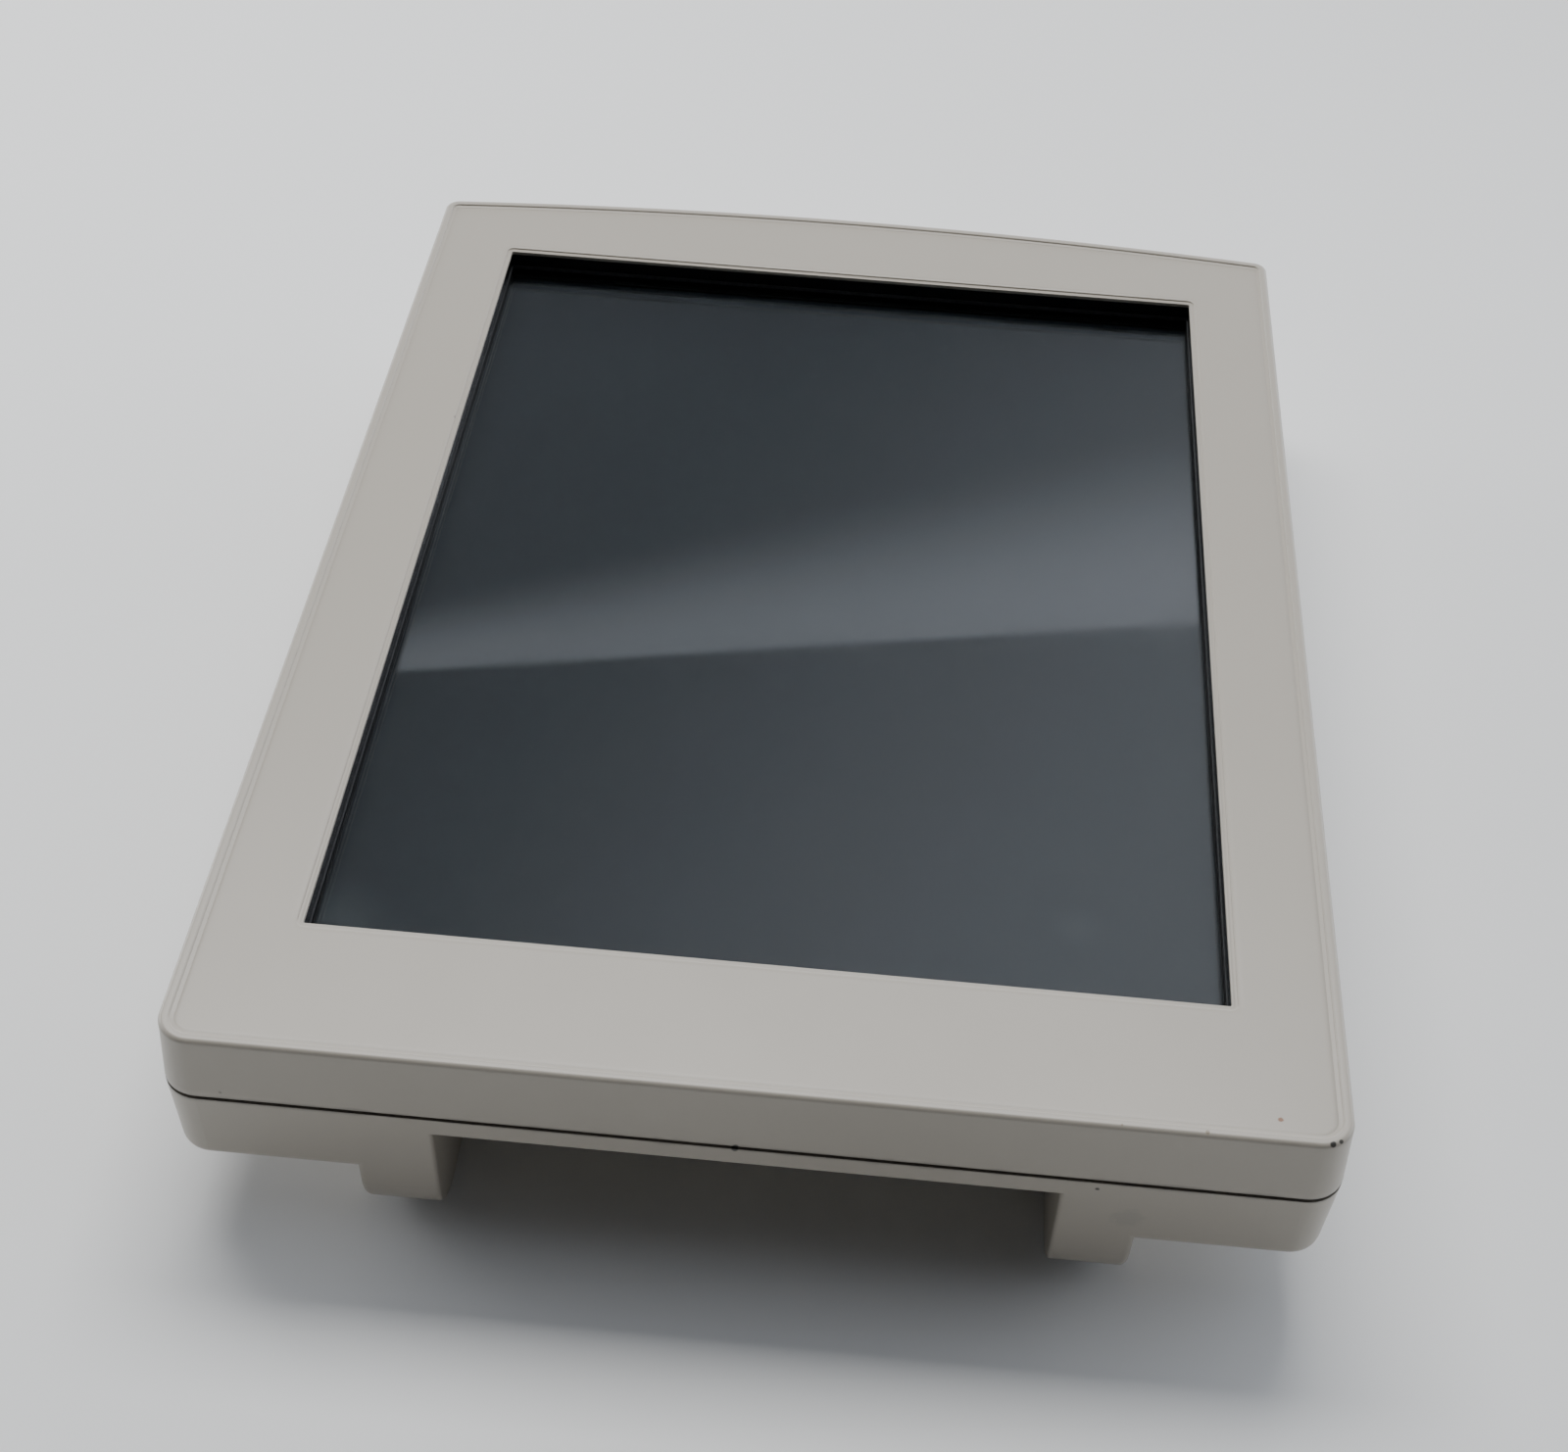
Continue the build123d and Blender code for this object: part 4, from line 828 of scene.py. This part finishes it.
black_coat = plain_finish(
    "black_electrocoated_steel", "#141415", "#0d0d0e", 0.002, {"Roughness": 0.5}, 0.00002
)
white_pc = plain_finish(
    "white_polycarbonate", "#ecebe5", "#e3e1d9", 0.02, {"Roughness": 0.42, "IOR": 1.58}
)
diffuser = plain_finish(
    "diffusing_polyester_film", "#eff0f0", "#e7e8e9", 0.05, {"Roughness": 0.7, "IOR": 1.57}
)
reflector = plain_finish(
    "silvered_reflector_foil", "#e2e4e6", "#d3d6d9", 0.01, {"Metallic": 1.0, "Roughness": 0.22}
)
lamp_glass = plain_finish(
    "phosphor_coated_lamp_glass", "#f4f3ec", "#e9e8e0", 0.004, {"Roughness": 0.2, "IOR": 1.5}
)
dress(black_coat, "lcd_front_frame")
dress(white_pc, "lcd_panel_frame")
dress(diffuser, "lcd_diffuser_films")
dress(reflector, "lcd_lamp_reflectors")
dress(lamp_glass, "lcd_lamps")
dress(cast_acrylic("clear_cast_acrylic", "#eef2f3", 0.03, 1.0), "lcd_light_guide")


# ---- sheet steel parts -------------------------------------------------------------------
# The chassis plate, the display's brackets and back pan, the mounting bracket and the
# connector plate are pressed from zinc-plated sheet, mostly 1.2 mm thick.
ROLLING_LENGTH, ROLLING_PITCH, ROLLING_SHEEN = 0.01667, 0.0005556, (0.24, 0.5)


def plated_steel(name, light, dark, spangle):
    """Bright zinc on rolled steel: a grey metal with cloudy patches from the bath and fine
    rolling lines along X, drawn at half a millimetre so that they show."""
    material, tree, shader = start_material(name, {"Metallic": 1.0})
    place = put(tree, "ShaderNodeTexCoord").outputs["Object"]
    patches = put(
        tree, "ShaderNodeTexNoise", {"Vector": place, "Scale": 1 / spangle, "Detail": 3.0}
    )
    colour = put(
        tree,
        "ShaderNodeMix",
        {0: patches.outputs["Fac"], MIX_A: linear(light), MIX_B: linear(dark)},
        data_type="RGBA",
    )
    tree.links.new(colour.outputs[MIXED], shader.inputs["Base Color"])
    scale = (1 / ROLLING_LENGTH, 1 / ROLLING_PITCH, 1 / ROLLING_PITCH)
    stretched = put(tree, "ShaderNodeMapping", {"Vector": place, "Scale": scale})
    lines = put(tree, "ShaderNodeTexNoise", {"Vector": stretched.outputs[0], "Scale": 1.0})
    gloss = put(
        tree,
        "ShaderNodeMapRange",
        {
            "Value": lines.outputs["Fac"],
            "To Min": ROLLING_SHEEN[0],
            "To Max": ROLLING_SHEEN[1],
        },
    )
    tree.links.new(gloss.outputs[0], shader.inputs["Roughness"])
    bump = put(
        tree,
        "ShaderNodeBump",
        {"Height": lines.outputs["Fac"], "Strength": 0.15, "Distance": 0.00003},
    )
    tree.links.new(bump.outputs[0], shader.inputs["Normal"])
    return material


zinc_sheet = plated_steel("zinc_plated_sheet_steel", "#c3c6c8", "#a9adb0", 0.02)
dress(
    zinc_sheet,
    "chassis_plate",
    "mount_bracket",
    "connector_plate",
    "lcd_side_brackets",
    "lcd_back_pan",
)


# ---- screws, posts and inserts -----------------------------------------------------------
# Zinc-plated pan-head screws, nickel-plated hexagonal posts for boards and plugs, and
# brass inserts with M4 threads for an arm or a wall plate.
zinc_screw = plated_steel("zinc_plated_screw_steel", "#b9bcbd", "#9da1a3", 0.003)
nickel = plated_steel("nickel_plated_steel", "#cfcbc2", "#bdb8ae", 0.004)
turned_brass = plated_steel("turned_brass", "#c9a45c", "#b48e48", 0.003)
dress(
    zinc_screw,
    "rear_cover_screws",
    "pan_head_screws",
    "board_to_moulding_screws",
)
dress(nickel, "board_standoffs", "jack_posts")
dress(turned_brass, "mount_inserts")


# ---- circuit boards ----------------------------------------------------------------------
# Glass-fibre laminate under green solder mask. The copper shows through the mask as paler
# tracks, which run square to the board's edges.
TRACK_EDGE, TRACK_DEPTH = (0.3, 0.34), 0.00004


def laminate(name, mask, copper, pitch):
    """Solder-masked laminate: a smooth glossy green with a square pattern of tracks."""
    material, tree, shader = start_material(name, {"Roughness": 0.25, "IOR": 1.5})
    place = put(tree, "ShaderNodeTexCoord").outputs["Object"]
    cells = put(
        tree,
        "ShaderNodeTexVoronoi",
        {"Vector": place, "Scale": 1 / pitch, "Randomness": 0.6},
        distance="CHEBYCHEV",
        feature="F1",
    )
    track = put(
        tree,
        "ShaderNodeMapRange",
        {
            "Value": cells.outputs["Distance"],
            "From Min": TRACK_EDGE[0],
            "From Max": TRACK_EDGE[1],
        },
    )
    colour = put(
        tree,
        "ShaderNodeMix",
        {0: track.outputs[0], MIX_A: linear(mask), MIX_B: linear(copper)},
        data_type="RGBA",
    )
    tree.links.new(colour.outputs[MIXED], shader.inputs["Base Color"])
    bump = put(
        tree,
        "ShaderNodeBump",
        {"Height": track.outputs[0], "Strength": 0.3, "Distance": TRACK_DEPTH},
    )
    tree.links.new(bump.outputs[0], shader.inputs["Normal"])
    return material


green_board = laminate("green_solder_mask_laminate", "#1d5a35", "#2c7446", 0.004)
dress(
    green_board,
    "touch_board_left",
    "touch_board_right",
    "touch_board_near",
    "touch_board_far",
    "touch_controller",
    "main_board",
    "power_board",
    "lamp_inverter_board",
    "button_board",
    "lcd_driver_board",
)


# ---- components --------------------------------------------------------------------------
# Moulded epoxy chips, capacitors and coils, the infrared emitters and detectors, and the
# black anodised heat sink on the main chip.
black_epoxy = plain_finish(
    "black_moulded_epoxy", "#222224", "#1a1a1c", 0.001, {"Roughness": 0.55}, 0.00002
)
black_anodised = plain_finish(
    "black_anodised_aluminium",
    "#3a3b3e",
    "#303134",
    0.0015,
    {"Metallic": 1.0, "Roughness": 0.45},
    0.00002,
)
dress(
    black_epoxy,
    "infrared_emitters",
    "infrared_detectors",
    "main_board_parts",
    "power_board_parts",
    "lamp_inverter_transformers",
    "button_switches",
)
dress(black_anodised, "heat_sink")


# ---- sockets -----------------------------------------------------------------------------
# Three signal sockets in nickel-plated shells and a green three-way power terminal, all
# standing through the connector plate.
green_nylon = plain_finish(
    "green_moulded_polyamide", "#1c8a4a", "#187c42", 0.002, {"Roughness": 0.45}, 0.00002
)
dress(nickel, "dvi_socket", "video_socket", "usb_socket")
dress(green_nylon, "power_terminal")

CONNECTOR_Z, PLATE_FACE = 26.5, -117.8
DVI_X, VIDEO_X, USB_X, TERMINAL_X = -10.0, 26.0, 51.0, -40.0
SHELL_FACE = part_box("dvi_socket")[0].y * 1000
USB_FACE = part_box("usb_socket")[0].y * 1000
# A cap covers a tongue or a pin, this much wider and this much proud of it.
CAP_WIDER, CAP_PROUD, CAP_SHORT = 0.1, 0.05, 0.05
BAR_TAPER = 0.12
DVI_TONGUE, DVI_TONGUE_X, DVI_TONGUE_LONG = (17.0, 4.6), DVI_X - 2, 5.0
DVI_PITCH, DVI_ROW, DVI_CONTACT, CONTACT_PROUD = 1.9, 1.3, (1.0, 0.42), 0.06
USB_TONGUE, USB_TONGUE_LONG = (5.6, 3.2), 9.0
USB_CONTACT, USB_CONTACT_X, USB_CONTACT_Z, USB_CONTACT_Y = (1.0, 0.3), 1.25, 1.6, (0.7, 7.5)
TERMINAL_PIN, TERMINAL_PITCH, TERMINAL_PIN_LONG = (1.2, 1.0), 5.08, 8.0
VIDEO_PITCH, VIDEO_ROW, VIDEO_STAGGER = 2.3, 1.9, 0.5
# The video contact's half section, outwards from its axis: the floor of its hole, the hole's
# wall, a rolled collar and the foot that stands in the insulator.
VIDEO_CONTACT = (
    (0.0, 2.2),
    (0.26, 2.2),
    (0.3, 1.25),
    (0.44, 1.14),
    (0.62, 1.16),
    (0.62, 1.3),
    (0.44, 1.6),
    (0.44, 3.0),
    (0.0, 3.0),
)
INSULATOR_CORNERS, INSULATOR_ROUND = ((-7.5, 3.4), (-6.3, -3.4), (6.3, -3.4), (7.5, 3.4)), 1.2
INSULATOR_FACE, INSULATOR_EASE, INSULATOR_FOOT = 1.14, 0.05, 1.195


def bars(centres, size, near, far):
    """Bars along Y from near to far, all of one width and height: a rectangle carried along
    Y, from a point, out to its full size over a short taper, and back to a point."""
    half = np.array(size) / 2
    loop = np.array([(-1, -1), (1, -1), (1, 1), (-1, 1)]) * half
    taper = BAR_TAPER * min(half)
    rows = [
        (loop * 0, near),
        (loop * (1 - taper / half), near),
        (loop, near + taper),
        (loop, far),
        (loop * 0, far),
    ]
    faces = grid_faces(len(rows), len(loop))[:, ::-1]
    return joined([
        (
            np.concatenate([
                np.stack([x + shape[:, 0], np.full(len(loop), depth), z + shape[:, 1]], axis=-1)
                for shape, depth in rows
            ]),
            faces,
        )
        for x, z in centres
    ])


def pins(centres, profile, steps=12):
    """Surfaces of revolution about lines along Y: (radius, depth) points turned about each."""
    points, faces = turned(profile, (0.0, 0.0), steps)
    points = points[:, [0, 2, 1]]
    return joined([(points + (x, 0, z), faces[:, ::-1]) for x, z in centres])


def rounded_loop(corners, reach, steps=7):
    """A polygon's outline with each corner replaced by a curve: the quadratic blend between
    the points a short reach before and after the corner, pulled towards the corner."""
    corners = np.asarray(corners, float)
    before = np.roll(corners, 1, axis=0) - corners
    after = np.roll(corners, -1, axis=0) - corners
    start = corners + before / np.linalg.norm(before, axis=1, keepdims=True) * reach
    end = corners + after / np.linalg.norm(after, axis=1, keepdims=True) * reach
    share = np.linspace(0, 1, steps)[None, :, None]
    curve = (1 - share) ** 2 * start[:, None] + share**2 * end[:, None]
    return (curve + 2 * share * (1 - share) * corners[:, None]).reshape(-1, 2)


def insulator_plate():
    """The rounded outline at several sizes and depths: a flat face with an eased edge, a
    short wall, and a flat back."""
    loop = rounded_loop(INSULATOR_CORNERS, INSULATOR_ROUND)
    rows = [
        (0.0, INSULATOR_FACE),
        (0.99, INSULATOR_FACE),
        (1.0, INSULATOR_FACE + INSULATOR_EASE),
        (1.0, INSULATOR_FOOT),
        (0.0, INSULATOR_FOOT),
    ]
    points = np.concatenate([
        np.stack(
            [
                VIDEO_X + loop[:, 0] * share,
                np.full(len(loop), SHELL_FACE + depth),
                CONNECTOR_Z + loop[:, 1] * share,
            ],
            axis=-1,
        )
        for share, depth in rows
    ])
    return points, grid_faces(len(rows), len(loop))[:, ::-1]


def cap(x, size, face, length):
    """The bar that covers a tongue or a pin."""
    places = [(place, CONNECTOR_Z) for place in x]
    wider = np.array(size) + CAP_WIDER
    return bars(places, wider, face - CAP_PROUD, face + length - CAP_SHORT)


black_pbt = plain_finish(
    "black_polybutylene", "#26262a", "#1e1e21", 0.001, {"Roughness": 0.42}, 0.00002
)
blue_pbt = plain_finish(
    "blue_polybutylene", "#2a4f9c", "#24468c", 0.001, {"Roughness": 0.42}, 0.00002
)
white_pbt = plain_finish(
    "white_polybutylene", "#dcdcd8", "#d2d2cd", 0.001, {"Roughness": 0.42}, 0.00002
)
gold_plate = plated_steel("gold_plated_contacts", "#d8b565", "#c9a352", 0.002)
tin_plate = plated_steel("tin_plated_contacts", "#cfd1d3", "#bdc0c2", 0.002)

dvi_columns = [DVI_TONGUE_X + (i - 3.5) * DVI_PITCH for i in range(8)]
dvi_places = [(x, CONNECTOR_Z + row * DVI_ROW) for x in dvi_columns for row in (-1, 0, 1)]
video_places = [
    (VIDEO_X + (i - 2) * VIDEO_PITCH + row * VIDEO_STAGGER, CONNECTOR_Z + row * VIDEO_ROW)
    for row in (-1, 0, 1)
    for i in range(5)
]
usb_places = [
    (USB_X + side * USB_CONTACT_X, CONNECTOR_Z + up * USB_CONTACT_Z)
    for side in (-1, 1)
    for up in (-1, 1)
]
pin_columns = [TERMINAL_X + i * TERMINAL_PITCH for i in (-1, 0, 1)]
video_profile = [(radius, SHELL_FACE + depth) for radius, depth in VIDEO_CONTACT]
contact_face = SHELL_FACE - CAP_PROUD - CONTACT_PROUD
usb_near, usb_far = (USB_FACE + depth for depth in USB_CONTACT_Y)
for name, shape, material, slot in (
    (
        "dvi_insulator",
        cap([DVI_TONGUE_X], DVI_TONGUE, SHELL_FACE, DVI_TONGUE_LONG),
        black_pbt,
        "component_black",
    ),
    (
        "dvi_contacts",
        bars(dvi_places, DVI_CONTACT, contact_face, SHELL_FACE + 0.5),
        gold_plate,
        "brass",
    ),
    (
        "usb_tongue",
        cap([USB_X], USB_TONGUE, USB_FACE, USB_TONGUE_LONG),
        white_pbt,
        "white_moulding",
    ),
    ("usb_contacts", bars(usb_places, USB_CONTACT, usb_near, usb_far), gold_plate, "brass"),
    (
        "terminal_pins",
        cap(pin_columns, TERMINAL_PIN, PLATE_FACE, TERMINAL_PIN_LONG),
        tin_plate,
        "socket_metal",
    ),
    ("video_contacts", pins(video_places, video_profile), gold_plate, "brass"),
    ("video_insulator", insulator_plate(), blue_pbt, "component_black"),
):
    detail = mesh_piece(name, *shape, material)
    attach(detail, "housing")


# ---- power switch ------------------------------------------------------------------------
# A snap-in rocker switch, moulded in black nylon: a fixed housing with a flange, and the
# rocker that tilts in it.
black_nylon = plain_finish(
    "black_moulded_nylon", "#1b1b1d", "#141416", 0.0012, {"Roughness": 0.38}, 0.00003
)
dress(black_nylon, "power_switch_housing", "power_switch_rocker")


# ---- adjustment buttons ------------------------------------------------------------------
# Four round caps in the back, each pushed against its own small switch.
grey_abs = plain_finish(
    "grey_moulded_abs", "#8d8c88", "#858480", 0.001, {"Roughness": 0.42, "IOR": 1.53}, 0.00003
)
dress(grey_abs, "menu_button", "down_button", "up_button", "select_button")


# ---- feet --------------------------------------------------------------------------------
# Four self-adhesive rubber feet in shallow seats on the hump.
dress(foam("moulded_rubber", "#2c2c2d", "#222223", 0.0006), "rubber_feet")


# ---- leads -------------------------------------------------------------------------------
# The leads between the boards, in PVC sheath, and the display's flat ribbon.
black_pvc = plain_finish("black_pvc_sheath", "#1e1e20", "#19191b", 0.001, {"Roughness": 0.5})
grey_pvc = plain_finish("grey_ribbon_pvc", "#a9aaa8", "#9fa09e", 0.001, {"Roughness": 0.5})
dress(black_pvc, "lamp_leads", "signal_leads", "power_lead")
dress(grey_pvc, "display_ribbon")
